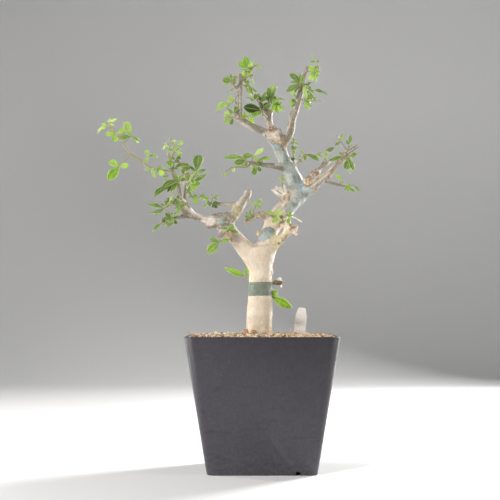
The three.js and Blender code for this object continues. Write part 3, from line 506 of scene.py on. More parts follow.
grit_shapes = [
    chip("chip_round", (1, 0.86, 0.72), 0.2, 1), chip("chip_flat", (1, 0.8, 0.45), 0.24, 2),
    chip("chip_long", (1.2, 0.7, 0.6), 0.22, 3), chip("chip_sharp", (1, 0.72, 0.62), 0.34, 4),
    splinter("husk_straight", 0.3, 0.05, 5), splinter("husk_bowed", 0.36, 0.16, 6),
]
print("grit shapes:", [(shape.name, len(shape.data.polygons)) for shape in grit_shapes])

# %% Draw one chip
GRIT_SEED, GRIT_SPACING, GRIT_SIZES, HUSK_SHARE, GRIT_LIFT, GRIT_MARGIN = 11, 1.95, (0.8, 1.6), 0.26, -0.35, 0.2
TRUNK_SPOT, TRUNK_REACH = (-2, 0), 10.2
BIG_CHIP, BIG_SHARE, HUSK_GROWTH, GRIT_TILT, GRIT_ROLL = 1.25, 0.12, 1.35, 0.35, 0.5


def shape_arrays(piece):
    """A small mesh as arrays of its points and of its triangles."""
    piece.data.calc_loop_triangles()
    points = np.array([v.co[:] for v in piece.data.vertices])
    return points, np.array([t.vertices[:] for t in piece.data.loop_triangles])


def lay_grit(draw, row, column):
    """Draws one chip near a place of the grid: its points, triangles, tint and kind, or none."""
    x = -SOIL_HALF + GRIT_SPACING * (column + draw.uniform(-0.5, 0.5))
    y = -SOIL_HALF + GRIT_SPACING * (row + draw.uniform(-0.5, 0.5))
    size = draw.uniform(*GRIT_SIZES) * (BIG_CHIP if draw.random() < BIG_SHARE else 1)
    reach = SOIL_HALF - GRIT_MARGIN - size * 0.4
    beyond = math.hypot(max(0, abs(x) - reach + SOIL_CORNER), max(0, abs(y) - reach + SOIL_CORNER))
    if max(abs(x), abs(y)) > reach or beyond > SOIL_CORNER or math.dist((x, y), TRUNK_SPOT) < TRUNK_REACH:
        return None
    husk = draw.random() < HUSK_SHARE
    points, triangles = grit_arrays[draw.choice((4, 5))] if husk else grit_arrays[draw.choice((0, 1, 2, 3))]
    tilt = draw.gauss(0, GRIT_TILT) + (math.pi / 2 if husk else 0)
    turn = Matrix.Rotation(draw.uniform(0, 6.3), 3, "Z") @ Matrix.Rotation(tilt, 3, "Y")
    turn = turn @ Matrix.Rotation(draw.gauss(0, GRIT_ROLL), 3, "X")
    grow = np.array([draw.uniform(0.8, 1.2) for _ in range(3)]) * size * (HUSK_GROWTH if husk else 1)
    centre = (x, y, soil_height(x, y) + GRIT_LIFT + draw.uniform(-0.25, 0.45) * size)
    return (points * grow) @ np.array(turn.transposed()) + centre, triangles, draw.random(), float(husk)


grit_arrays = [shape_arrays(piece) for piece in grit_shapes]
print(len(grit_arrays), "shapes to draw from")


# %% Scatter the grit
def mesh_piece(name, points, faces):
    """A new object from points in millimetres and faces."""
    mesh = bpy.data.meshes.new(name)
    mesh.from_pydata([tuple(c * MM for c in point) for point in points], [], faces)
    mesh.update()
    piece = bpy.data.objects.new(name, mesh)
    scene.collection.objects.link(piece)
    return piece


def store(piece, domain, **values):
    """Stores numbers on a piece's points or faces: for each name one number, or one for every element."""
    for name, numbers in values.items():
        cells = piece.data.attributes.new(name, "FLOAT", domain).data
        cells.foreach_set("value", np.full(len(cells), numbers, np.float32))


draw = random.Random(GRIT_SEED)
places = range(int(2 * SOIL_HALF / GRIT_SPACING) + 1)
chips = [chip for chip in (lay_grit(draw, row, column) for row in places for column in places) if chip]
firsts = np.cumsum([0] + [len(points) for points, *_ in chips])
grit = mesh_piece("soil_grit", np.vstack([points for points, *_ in chips]).tolist(),
                  np.vstack([triangles + first for (_, triangles, *_), first in zip(chips, firsts)]).tolist())
for label, index in (("tint", 2), ("husk", 3)):
    store(grit, "FACE", **{label: np.repeat([chip[index] for chip in chips], [len(chip[1]) for chip in chips])})
for shape in grit_shapes:
    bpy.data.objects.remove(shape)
print("grit:", triangles_in(grit), "triangles")

# %% [markdown]
# ### Soil finish
# Each chip carries its own random tint, stored on its faces, which picks a colour between dark brown clay
# and cream pumice. Husks are warmer. The mound between them is the same mix, ground fine, and painted darker as shade
# between the chips.

# %% Grit and fine soil
GRIT_COLOURS = [(0.0, (0.09, 0.05, 0.03)), (0.15, (0.27, 0.155, 0.085)), (0.35, (0.47, 0.33, 0.205)),
                (0.65, (0.62, 0.495, 0.35)), (1.0, (0.80, 0.715, 0.57))]


def attribute(name):
    return add_node("ShaderNodeAttribute", attribute_name=name).outputs["Fac"]


def colour_ramp(value, *stops):
    """Colours along a value, each given after its position."""
    ramp = add_node("ShaderNodeValToRGB", {"Fac": value})
    for index, (position, colour) in enumerate(stops):
        stop = ramp.color_ramp.elements[index] if index < 2 else ramp.color_ramp.elements.new(position)
        stop.position = position
        stop.color = (*colour, 1)
    return ramp.outputs["Color"]


def grit_material(name, fine):
    material = new_material(name)
    colour = colour_ramp(clouds(700, 4, 0.7) if fine else attribute("tint"), *GRIT_COLOURS)
    if fine:
        # Painted shade: the fine soil between the chips is darkened as if it lay in shadow.
        colour = blend(1.0, colour, (0.5, 0.45, 0.4), "MULTIPLY")
    else:
        colour = blend(attribute("husk"), colour, blend(1.0, colour, (1.05, 0.82, 0.6), "MULTIPLY"))
    colour = coats(colour, (scatter(1500, 0.4), 0.4, (0.12, 0.07, 0.04)))
    finish(colour, fade(clouds(900), 0.3, 0.7, 0.8, 0.98), clouds(1800, 4, 0.7), 0.5, 0.0004)
    return material


dress(soil, grit_material("fine_soil", True), "soil", "soil")
dress(grit, grit_material("grit_chips", False), "soil")
print("soil dressed")

# %% [markdown]
# ## Dry flakes
# A few rust-brown, curled flakes of old bark and leaf lie at the trunk's foot, and two dry slivers rest on
# the left rim. Each is a small ragged grid that stands upright, is curled by a bend modifier, given a
# thickness and then laid down, because a flat shape would miss the shadow that a real curl throws. Their
# sizes are a measured table, written as text with a comma between two rows, as all long tables here are.

# %% Curl and lay the flakes
def join(name, pieces):
    """Makes one piece of several, under the name of the first or a new one."""
    take(*pieces)
    bpy.ops.object.join()
    bpy.context.object.name = name
    return bpy.context.object


def rows(text):
    """Reads a table: numbers stand between spaces, and rows between commas."""
    return [tuple(float(number) for number in row.split()) for row in text.split(",")]


FLAKE_THICKNESS, RAGGED, RAGGED_SCALE = 0.3, 0.5, 2.6
# Each flake: place, length, width, turns about x, y and z, curl, and how rusty it is
flakes = rows("""
    -13.2 -11.5 118.9 4 5.4 80 -14 10 60 .7, -6.6 -14.5 120.6 8.8 2.6 -14 12 8 190 .8,
      -7.2 -12.4 119 4.4 4.8 80 4 6 40 .3, 7.6 -9.5 118.4 4.2 5.2 78 -8 -24 70 .45,
      3.2 -14.5 117.6 7.5 3.4 18 -3 -6 75 .15, -59.6 -57.5 118.9 3.8 1.5 10 34 5 60 .6,
      -62 -58 121.2 4.8 .4 0 56 8 35 .9, -28.2 -30 119.2 3 2.4 60 20 40 70 0,
      -39 -24 118.9 2.8 2.2 70 -10 10 60 .1, 26 20 120.4 3.6 .9 10 78 20 40 .3,
      -56 -44 117.4 4 2.6 20 10 60 90 .7, -22 -38 118.8 3.6 2.4 15 12 100 110 .65,
      16 -40 118.6 3.4 2.4 18 -8 30 90 .6, 41 -36 118.2 3.6 2 10 8 -40 120 .5, 29 -20 119.2 4 2.2 20 6 70 100 .7""")
laid = []
for x, y, z, length, width, *turns, curl, rust in flakes:
    flake = add_shape("flake", bpy.ops.mesh.primitive_grid_add, x_subdivisions=9, y_subdivisions=5, size=1)
    place = Vector((x, y, z))
    for corner in flake.data.vertices:
        ragged = 1 + RAGGED * noise.noise(corner.co * RAGGED_SCALE + place)
        corner.co = Vector((corner.co.x * length, 0, corner.co.y * width * ragged)) * MM
    modify(flake, "curl", "SIMPLE_DEFORM", deform_method="BEND", deform_axis="Z", angle=math.radians(curl))
    modify(flake, "thickness", "SOLIDIFY", thickness=FLAKE_THICKNESS * MM)
    apply_modifiers(flake)
    turn = Matrix.LocRotScale(place * MM, Euler([math.radians(t) for t in turns]), None)
    flake.data.transform(turn @ Matrix.Rotation(-math.pi / 2, 4, "X"))
    store(flake, "FACE", rust=rust)
    laid.append(flake)
dry_flakes = join("dry_flakes", laid)
bpy.ops.object.shade_smooth_by_angle(angle=math.radians(60))
print(len(laid), "flakes laid")


# %% Flake finish
def plus(first, second):
    return maths("ADD", first, second)


flake_skin = new_material("dry_flake")
own = plus(times(attribute("rust"), 0.62), times(clouds(420, 4, 0.7), 0.42))
colour = colour_ramp(own, (0.1, (0.80, 0.68, 0.52)), (0.4, (0.72, 0.50, 0.30)), (0.66, (0.50, 0.24, 0.09)),
                     (0.85, (0.20, 0.09, 0.045)))
finish(colour, 0.6, clouds(1200), 0.4, 0.0003)
dress(dry_flakes, flake_skin, "soil")
print("flakes:", triangles_in(dry_flakes), "triangles", [round(d / MM, 1) for d in dry_flakes.dimensions])

# %% [markdown]
# ## Wood
# The trunk and branches are one smooth, pale, water-storing body, pruned many times, so every limb meets
# the next in a soft collar. The limbs are drawn as tapered tubes along measured centre lines, then one
# voxel remesh makes a single even skin. After that each point slides onto a soft sum of all the limbs,
# which gives true widths everywhere and rounds the forks.

# %% Centre lines of the limbs
def named_rows(text):
    """Reads several tables, each after its name and a colon, with a semicolon between two of them."""
    return {name.strip(): rows(table) for name, table in (part.split(":") for part in text.split(";"))}


# Each station is x, y, z and the radius there, from the limb's root outwards.
limbs = named_rows("""
    trunk: -2 0 48 4, -2 0 70 7.5, -2 0 95 10, -2 0 116 11, -2 0 127.5 11.1, -1.5 0 140 11, -1.5 0 150.5 10.2,
      -1.5 0 161.5 9.8, -1 0 171.5 9.8, -1.5 0 179 10.8, -2 0 187 12.6, -3 0 193 12.4;
    left_limb: -6 0 182.5 8.8, -11.5 -2 188.5 8.1, -19 -5 196.5 6.8, -25.5 -9 204 6.2, -31 -13 211.5 6.4,
      -35.5 -15 217 5.6;
    left_bough: -30 -14 213.5 5.6, -39.5 -17 214.5 4.5, -49.5 -20 216 3.3, -59 -24 219.5 3.2,
      -64.5 -26 223.5 3.7, -68.5 -27 228.5 3.2;
    left_upright: -65 -26 224 3.2, -69 -28 232 2, -71 -30 241.5 1.7, -74.5 -31 250.5 1.6, -76 -32 257.5 1.5,
      -78 -33 264.5 1.4, -80.5 -34 272 1.2;
    inner_upright: -65 -25 225.5 2.8, -66.5 -23 234.5 1.7, -66.5 -21 242.5 1.5, -67 -18 253.5 1.4;
    left_stub: -64 -26 224.5 3, -70.5 -29 227.5 2.4, -76.5 -32 230 1.6;
    lower_twig: -61 -24 220 2.1, -67.5 -27 218 1.5, -71.5 -31 217 1.3, -77.5 -35 216 1.2, -82.5 -39 213.5 1.2,
      -85 -41 213 .9;
    snag: -32.5 -13 214.5 5.6, -25.8 -10 219 4.9, -20.2 -5 226.5 4.4, -16.2 0 233 3.8, -13 4 238.5 3.4,
      -11.6 8 243 3.4;
    snag_arm: -20.5 -3 229.5 2.6, -26 0 230.5 2.2, -32 5 231 1.8, -39 10 232 1.7;
    cut_stub_up: -35.5 -15 215 3.5, -37 -17 221 2.2;
    cut_stub_low: -39.5 -16 214 3.5, -47 -23 209 1.5;
    cut_stub_down: -31 -12 209 3.5, -37 -22 200.5 1.6;
    right_limb: .5 0 183.5 8.8, 3.5 2 193.5 8.5, 5.5 4 202 7.2, 9 7 211 7.5, 15 10 221 7.9, 23 13 229.5 8,
      31 17 238.5 7.5;
    side_fork: 6 0 187 3.9, 13.5 -3 196.5 3.5, 20 -8 203.5 3, 24.5 -12 209.5 2.9;
    fork_stub_a: 23 -11 207.5 2.4, 28 -13 208.5 1.9, 29.5 -13 211.5 1.8;
    fork_stub_b: 24.5 -12 208.5 2.2, 28 -14 205.5 1.6, 31 -16 203 1.2;
    crossing_twig: 23.5 -12 210 1.1, 21.5 -6 215 .9, 18 1 220 .9;
    left_arm: 7.5 8 218.5 4, .5 5 222 3.4, -5.5 0 220 2.7, -10 -4 217.5 2.4, -14 -8 214.5 1.8;
    torn_stub: 29 15 239 7.4, 22.5 11 241 5.2, 16 8 242.5 2.7, 9 4 243.6 .8;
    upper_bough: 29 16 236.5 8, 31.5 19 245 7.8, 30 22 254 7, 25 24 264 6.3, 20 24 273.5 5.6, 16.5 23 282 6.1,
      14 21 289 6.4;
    top_right: 17.5 22 286.5 4.9, 23.5 23 292.5 4, 26.5 25 299.5 3.6, 28 28 309 3.3, 31 31 319.5 3.2,
      34.5 33 330.5 2.8, 36.5 34 339 2.3, 38.5 32 348.5 2.1, 42 30 358 1.3;
    top_left: 12 20 289 4.9, 6.5 15 293.5 3.9, -.5 8 297 3.4, -8.5 0 299.5 3.1, -16 -7 302.5 2.9,
      -22.5 -12 306.5 2.4;
    left_post: -20 -10 305.5 2.4, -19 -9 313.5 2.1, -19 -7 328 2.1, -18.5 -5 343 2;
    post_twig: -20 -7 330.5 1.3, -22.5 -9 332 1.1, -26.5 -14 335.5 .9;
    top_post: 10.5 18 296 4.4, 7.5 19 304 3.4, 6.5 22 311 3.2, 6.5 24 316 2.8;
    post_fork_a: 5 24 314.5 1.4, 3 23 317.5 1.1, -3.5 22 325 .9;
    post_fork_b: 8 24 314.5 1.5, 10.5 25 319 1.1, 11 26 322.5 .9;
    mid_twig: 21 23 265.5 3.6, 12 15 266 2.7, 5.5 8 266 2.2, -1 1 266 1.9, -7.5 -5 266.5 1.7, -12 -8 266.5 1.6;
    bud_stub: 25 24 263.5 2.7, 28.5 28 267.5 2, 30.5 33 273 1.4;
    right_bough: 33.5 18 239.5 6.2, 39.5 16 244 5.5, 45.5 13 248.5 4.7, 52 8 254 3.6, 58.5 2 258.5 2.8,
      63.5 -3 263 2.4, 68.5 -8 268.5 2.5, 73 -11 273 2.2;
    right_tip: 71 -10 271 2.1, 76.5 -13 276 1.6, 83 -17 280 1.4;
    thin_twig: 73.5 -12 275 1.2, 72 -13 278.5 .9, 66.5 -16 287 .8;
    right_fork: 46 14 252.5 2.7, 50.5 19 261.5 2, 55 23 267 1.7, 59 27 270.5 1.5;
    fork_prong: 55.5 24 268 1.3, 58 26 271.5 1.2, 57 27 275.5 1;
    fork_spur: 57 25 269 1.2, 63.5 30 272.5 .9;
    low_twig: 51.5 9 252.5 1.9, 57.5 14 252 1.7, 64.5 21 251 1.5, 75 30 249.5 1.3;
    trunk_spur: 7 3 161 1.8, 13 5 162.5 1.3, 18.5 6 162.5 1.1""")
# Each knob is x, y, z, its half width and its half height.
knobs = {name: spot for name, (spot,) in named_rows("""
    elbow_callus: -29 -14 203 3.9 3.7;
    left_knuckle: -35.5 -16 215 6.5 5.6;
    fork_scar: -2 2 205.5 2.4 2.6;
    crown_callus: 11 18 296 5.3 4;
    crown_scar: 14 15.5 291.5 3.1 3.1;
    bough_scar: 40.5 11.5 251 3.8 4.4;
    bough_knob: 44.5 14 257 2.7 2.8;
    bough_burr: 48.5 17 261 2.9 2.4;
    under_knob: 46.5 13 244.5 2.2 1.8;
    stub_lump: 18 9 236.5 2.2 2.6;
    bud_scar_a: 59.5 2 256 2 2.2;
    bud_scar_b: 69 -9 268.5 2.6 2.4;
    tip_callus: -18.5 -5 343 2.4 1.8;
    fork_burr: 24 -12 208.5 3 3""").items()}
# Small thorns, dry twigs and splinters that only the dressed tree has
spurs = named_rows("""
    white_twig_a: 19 9 222 .9, 20 6 219.2 .8, 22 3 215.5 .7, 23.5 0 211.7 .6;
    white_twig_b: 25 10 222 .9, 27.8 8 220 .7, 32 6 218 .6, 35.5 4 215.4 .5;
    white_twig_c: 28.8 20 263 1.6, 29.4 18 267.2 1.4, 30.2 16 271.9 1.1;
    thin_snag: -67 -19 251.5 .8, -66.4 -22 255.4 .6, -65.9 -22 259.8 .4;
    elbow_thorn: -30 -13 218 1.1, -30.6 -12 220.6 .8, -30.8 -12 222.6 .4;
    bough_thorn: -42 -17.5 215.5 1, -42.4 -17.5 218.6 .7, -43.4 -18 221.8 .35;
    crown_thorn: 18 21 290.5 1.1, 17.5 20 293.6 .8, 16.6 19 299.6 .4;
    trunk_nub: 7.4 0 170.6 1.5, 9.6 -.5 171 1.1;
    brown_snag: 5 18 310 1, 2.3 10 311 .8, -1 2 315 .7, -3.6 -4 320.9 .5;
    spur_bead: 14 5 163 .9, 15.6 4.2 165.4 1, 15.9 4 166.6 .7;
    spur_hang: 14.5 5 161.8 .9, 16.4 5 160.6 .7, 17.6 5 157.6 .5;
    torn_splinter_b: 16 8 244.5 1.6, 12.5 7 247.6 .5;
    torn_splinter_c: 18 8 241 1.6, 12.4 4 240.2 .5;
    torn_splinter_d: 22 9 245 2, 19.6 7 249 .6;
    fork_web_high: 18.5 3 212.8 2.6, 22 -4 211.2 2.3, 25 -10 210.6 2;
    fork_web_low: 10.5 1 198.5 4, 14.5 -2 201.6 2.6;
    saddle_bump: -6.2 -2 193 1.6, -6.4 -2.4 195.4 .7""")
print(len(limbs), "limbs,", len(knobs), "knobs and", len(spurs), "spurs")


# %% Tapered tubes as a first, rough tree
def rounded_line(stations, steps=5):
    """A smooth line through the stations, by the Catmull-Rom rule, with the radius carried along."""
    ends = np.array([stations[0], *stations, stations[-1]], float)
    line = []
    for a, b, c, d in zip(ends[:-3], ends[1:-2], ends[2:-1], ends[3:]):
        for step in range(steps):
            t = step / steps
            line.append(0.5 * (2 * b + (c - a) * t + (2 * a - 5 * b + 4 * c - d) * t ** 2
                               + (3 * b - a - 3 * c + d) * t ** 3))
    line.append(ends[-2])
    return np.array(line)


def tubes(name, lines, resolution):
    """Tapered tubes along several lines, drawn as one curve and then made a mesh."""
    curve = bpy.data.curves.new(name, "CURVE")
    curve.dimensions = "3D"
    curve.bevel_depth = MM
    curve.bevel_resolution = resolution
    curve.use_fill_caps = True
    for line in lines:
        spline = curve.splines.new("POLY")
        spline.points.add(len(line) - 1)
        for point, (x, y, z, radius) in zip(spline.points, line):
            point.co = (x * MM, y * MM, z * MM, 1)
            point.radius = radius
    drawn = bpy.data.objects.new(name, curve)
    scene.collection.objects.link(drawn)
    take(drawn)
    bpy.ops.object.convert(target="MESH")
    return bpy.context.object


wood_lines = {name: rounded_line(stations) for name, stations in {**limbs, **spurs}.items()}
wood = tubes("bonsai_wood", wood_lines.values(), 3)
for x, y, z, half_width, half_height in knobs.values():
    bpy.ops.mesh.primitive_ico_sphere_add(subdivisions=3, radius=half_width * MM, location=(x * MM, y * MM, z * MM),
                                          scale=(1, 1, half_height / half_width))
    join("bonsai_wood", [wood, bpy.context.object])
print("rough tree:", triangles_in(wood), "triangles in overlapping tubes")

# %% One even skin over all the tubes
SKIN_STEP = 0.62
take(wood)
bpy.ops.object.transform_apply(location=True, rotation=True, scale=True)
wood.data.remesh_voxel_size = SKIN_STEP * MM
wood.data.remesh_voxel_adaptivity = 0
bpy.ops.object.voxel_remesh()
print("skin:", triangles_in(wood), "triangles")

# %% How far a point is from the limbs
COLLAR = 1.25  # how far one limb's skin swells towards the next, in mm


def limb_distance(points, line):
    """Distance of points outside one tapered limb, which is cut off square at both ends."""
    distance = np.full(len(points), np.inf)
    for start, end in zip(line[:-1], line[1:]):
        along = end[:3] - start[:3]
        place = np.clip((points - start[:3]) @ along / max(along @ along, 1e-9), 0, 1)
        radius = start[3] + place * (end[3] - start[3])
        distance = np.minimum(distance, np.linalg.norm(points - start[:3] - place[:, None] * along, axis=1) - radius)
    for end, inner in ((line[0], line[2]), (line[-1], line[-3])):
        outwards = (end[:3] - inner[:3]) / np.linalg.norm(end[:3] - inner[:3])
        distance = np.maximum(distance, (points - end[:3]) @ outwards)
    return distance


def near_line(points, line, margin):
    """The numbers of the points in the box round a line."""
    low, high = line[:, :3].min(axis=0) - margin, line[:, :3].max(axis=0) + margin
    return np.flatnonzero(np.all((points > low) & (points < high), axis=1))


def depth_in(points, centre, radii):
    """How far points lie inside a blob, in mm; negative outside it."""
    offset = (points - np.array(centre)) / np.array(radii)
    return (1 - np.linalg.norm(offset, axis=1)) * min(radii)


def soft_distance(points):
    """Distance to the whole tree, rounded where limbs meet."""
    total = np.zeros(len(points))
    for line in wood_lines.values():
        close = near_line(points, line, line[:, 3].max() + 5 * COLLAR)
        total[close] += np.exp(-limb_distance(points[close], line) / COLLAR)
    for *middle, half_width, half_height in knobs.values():
        close = near_line(points, np.array([middle]), max(half_width, half_height) + 5 * COLLAR)
        total[close] += np.exp(depth_in(points[close], middle, (half_width, half_width, half_height)) / COLLAR)
    return -COLLAR * np.log(np.maximum(total, 1e-12))


print("limbs swell by", COLLAR, "mm towards each other")

# %% Slide the skin onto a soft sum of the limbs
LONGEST_SLIDE, SLOPE_PROBE = 1.2, 0.15


def skin_points(piece):
    flat = np.empty(3 * len(piece.data.vertices))
    piece.data.vertices.foreach_get("co", flat)
    return flat.reshape(-1, 3) / MM


def set_skin(piece, points):
    piece.data.vertices.foreach_set("co", (points * MM).ravel())
    piece.data.update()


points = skin_points(wood)
for _ in range(2):
    here = soft_distance(points)
    slope = np.stack([soft_distance(points + SLOPE_PROBE * axis) - here for axis in np.eye(3)], axis=1) / SLOPE_PROBE
    steep = np.maximum((slope ** 2).sum(axis=1, keepdims=True), 0.3)
    points = points - np.clip(here, -LONGEST_SLIDE, LONGEST_SLIDE)[:, None] * slope / steep
set_skin(wood, points)
print("skin slid by its distance to the limbs; the last was off by", round(float(np.abs(here).mean()), 3), "mm")

# %% [markdown]
# ### Bark relief
# The bark is thin and smooth, but it dips and swells where the wood stores water, and it is dented between.
# Two displace modifiers with cloud textures do this, a broad one for the swellings and a finer one for the
# dents. A light smoothing after them removes the remesh's facets.

# %% Swell, dent and smooth the bark
for label, size, depth in (("bark_swell", 13, 0.9), ("bark_dent", 5, 0.42)):
    pattern = bpy.data.textures.new(label, "CLOUDS")
    pattern.noise_scale = size * MM
    pattern.noise_depth = 2
    modify(wood, label, "DISPLACE", texture=pattern, texture_coords="LOCAL", strength=depth * MM, mid_level=0.5)
modify(wood, "even_skin", "SMOOTH", factor=0.5, iterations=2)
apply_modifiers(wood)
bpy.ops.object.shade_smooth()
print("bark relief on", len(wood.data.vertices), "points")

# %% [markdown]
# ### Where the bark is scraped, cut or torn
# The colour of this bark depends on place: a crisp grey-green ring round the trunk where the paper bark was
# peeled, larger green patches on the right limb, pinkish brown ends where twigs were pruned, and a torn
# stub. Distances to these places are stored on the points in millimetres, so that the shader can draw a
# crisp, slightly ragged border that doesn't depend on how fine the mesh is.


# %% Find each point's place along and round its limb
def limb_places(points):
    """For each point: how far it is along its nearest limb, how far round it from the front, and which it is."""
    nearest = np.full(len(points), np.inf)
    along_limb, round_limb, which = (np.zeros(len(points)) for _ in range(3))
    for index, line in enumerate(wood_lines.values()):
        close = near_line(points, line, line[:, 3].max() + 3)
        walked = 0.0
        for start, end in zip(line[:-1], line[1:]):
            axis = end[:3] - start[:3]
            length = np.linalg.norm(axis)
            if length < 1e-6:
                continue
            axis /= length
            offset = points[close] - start[:3]
            step = np.clip(offset @ axis, 0, length)
            radius = start[3] + step / length * (end[3] - start[3])
            side = offset - step[:, None] * axis
            gap = np.linalg.norm(side, axis=1) - radius
            better = gap < nearest[close]
            front = np.array((0, -1, 0)) + axis[1] * axis
            front /= np.linalg.norm(front)
            turn = np.arctan2(side @ np.cross(axis, front), side @ front)
            chosen = close[better]
            nearest[chosen] = gap[better]
            along_limb[chosen] = walked + step[better]
            round_limb[chosen] = (turn * radius)[better]
            which[chosen] = index
            walked += length
    return along_limb, round_limb, which


points = skin_points(wood)
along_limb, round_limb, which_limb = limb_places(points)
print("limb places found for", len(points), "points")

# %% The places, as measured
# Peeled patches, as outlines seen from the front in x and z: the right limb and upper bough, a patch below
# the fork and one on the left knuckle
peeled_outlines = [rows(outline) for outline in """
    20.3 226.8, 22.1 229.9, 23.9 232.6, 24.3 236.1, 23.4 241.5, 21.7 246.8, 17.3 253.9, 13.7 260.1, 18.4 261.9,
      19.2 264.6, 17 268.6, 12.8 269.9, 7.5 279.7, 4 286.8, 6.6 288.6, 9.3 286.3, 13.7 285.9, 16.4 285.5,
      17.7 280.6, 20.8 278.8, 22.6 280.6, 26.1 275.2, 32.3 265.4, 39.4 253.9, 36.7 249.4, 39.4 247.2,
      42.5 246.3, 46.5 244.1, 46.4 238.8, 41.1 229.9, 34 222.8, 28.7 220.2, 25.2 223.3, 22.5 224.6;
    .8 209, 3.8 210.5, 7.3 211.1, 10 209.9, 12.3 207.3, 11.3 204.6, 8.7 202.9, 6 200.2, 2.1 198.3, -3.2 197.6,
      -4.9 201.1, -1.4 203.7, .3 206.4;
    -39.5 217.7, -36.9 218.6, -33.9 217.7, -30.9 214.3, -27.9 210.4, -29.1 208.7, -33 209.5, -36.9 213.4,
      -39.5 214.7""".split(";")]
# Blobs, as x, y, z and three radii: where the green layer is deep and dark, where it is fresh and bluish,
# and where a skin of old bark is left on it
deep_blobs = rows("""
    6.5 1 209 6 14 3, 39.9 12 239.8 2.1 9 3.9, 29.6 10 230.8 4.4 12 2.2, 22.4 18 273.5 2.6 8 6.1,
      29.4 14 256.4 2 9 4, 7.8 1 209.6 8 14 4.6, -33.5 -20 212.1 2.6 6 1.8""")
fresh_blobs = rows("""
    35 10 247.7 4.4 10 4.4, 41.2 12 245.2 2.6 10 2.2, 2.5 1 201.6 3.9 12 3.1, 22 8 228.9 2.2 9 2.2,
      12.1 16 284.9 3.5 7 2.6, -37.8 -20 216.4 2.2 5 1.8""")
bark_islands = rows("""
    27.4 8 243.1 3.5 9 6.6, 21.3 14 253.4 3.1 8 6.1""")
# Pale places, partly pale bark and partly painted highlights, then cut ends and tan scars: x, y, z and one radius
pale_and_highlight_places = rows("""
    18 3.4 236.6 3, 21.1 6 247.3 2, -68.3 -30 232.9 2.6, -46.3 -22 217.2 3, 4 8 292.3 4, -67.1 -20 247.5 1.6,
      -68.7 -30 239.8 1.8, 23.4 8 231.5 2.4, 11.1 13 294.3 4.8, 15.7 16 296.5 3.1, -44.6 -21 214.6 5.3,
      -49.7 -23 213.7 3.5, -39.5 -18 207.9 2.6, -25 -8 222.5 3.5, 18.4 4 236.5 1.3, 21.6 6 246.4 2.1,
      17.5 2 210 2.2, 10.4 0 201.5 1.8, -4 -2 220 3.5, -20.9 -9 205.2 2.6, -12 -5 193.8 2.2, 46.5 10 258 3.5,
      52 12 256 3, 36 8 213 2, 6.5 10 293.5 4.4, 17 16 290 2.4, 13.4 13 291.2 3.4, 7.6 12 292.4 3.4,
      .3 0 189.7 8, -7.6 -3 190.4 5, 5.6 0 193.2 5""")
pruned_ends = rows("""
    8.5 12 298.2 3.2, -80.5 -34 272.6 2.2, -67 -18 254 2.2, -77 -32.4 230.2 2.4, -86 -41.5 213 2,
      -37.4 -17.6 221.6 3, -37.2 -23 200 2.4, -18.5 -5 344 3, -14.6 -8.5 214.2 2.8, -12 8.5 243.4 3.6,
      29.8 -13.4 212 3.4, 31.6 -16.4 202.6 3, -39.4 10.2 232.2 2.2, -47.6 -23.6 208.6 2.4, 44 11 259 2.8,
      48.6 13 262.5 2.6, 46.6 10.5 243.4 2.4, 59.6 -1 255 2.4, 69.2 -11 268.4 2.4, 11 13 299 3.2,
      8.4 25 317 2.4, 30.6 33.4 273.4 2, 26 -15 208.5 3, -61.5 -28 218.5 1.7, 84 -17.5 281 2, 9 15 298.4 3.4,
      -38.7 -18 219.4 3, 21.8 16 288 2.6, 44 14 260.5 3, 48 14 262.7 3""")
tan_scars = rows("""
    -29.4 -17.6 202.4 4, -3.6 0 205.6 3, 40.2 6.5 251.6 4.6, 12.6 12 291 2.4, -32.6 -21 217.3 1.2,
      -30.5 -21 214.3 1.2, 23 6.5 240 2.8, 23.4 7 234 2, 15 5 241.5 2, 13 -5 196 2.4, 19 -9 202 2.6,
      -21.5 -8 226 3, -26 -14 216 2.6, -4.5 0 222 2.6, 0 2 223.5 2.4, 31 10 263 2.4, -12.5 -8 189 1.8,
      16.5 14.5 287.5 2.6, 44 10 255 2.6""")
# Painted highlights as pale strips along the lit flanks, and brown cracks and holes: x and z of one end, x and z
# of the other, y and the half width
painted_highlight_strips = rows("""
    -22.5 304.6 -3.2 291.3 -3 1.9, 9.5 318.3 9.9 303 18 .8, 22.1 295.5 26.6 309.9 22 1.1,
      26.8 311 32.2 327.4 30 1, -19.5 333.6 -19.4 310.7 -9 .7, -65 226.2 -57.3 221 -28 2,
      -57.4 221.3 -46.3 215.7 -24 1.9, -48 218 -41.2 215.4 -22 1.8, -25.9 224.2 -19.8 232.1 -8 2.6,
      -19.8 232.5 -13.7 243.1 -2 2, .4 266.1 14.6 264.3 8 .7, 45.2 247 60.2 259.4 3 .8, 50 257 58.9 264.1 10 .7,
      -68.6 233.4 -66.7 253.2 -24 1, -73 244.8 -69.1 233.7 -31 .7, -66.7 232.2 -65 227.9 -28 1.5,
      14.3 298 15.6 290.9 14 1.1, 5.8 294.3 12.9 290.7 13 2, 12.8 267.4 18 267.6 12 1.7,
      17.4 238.8 18.4 235.4 3 1.5, 21.8 236.6 18.6 230 4 1.2, 9.8 224.8 15.6 232.2 3 1.3""")
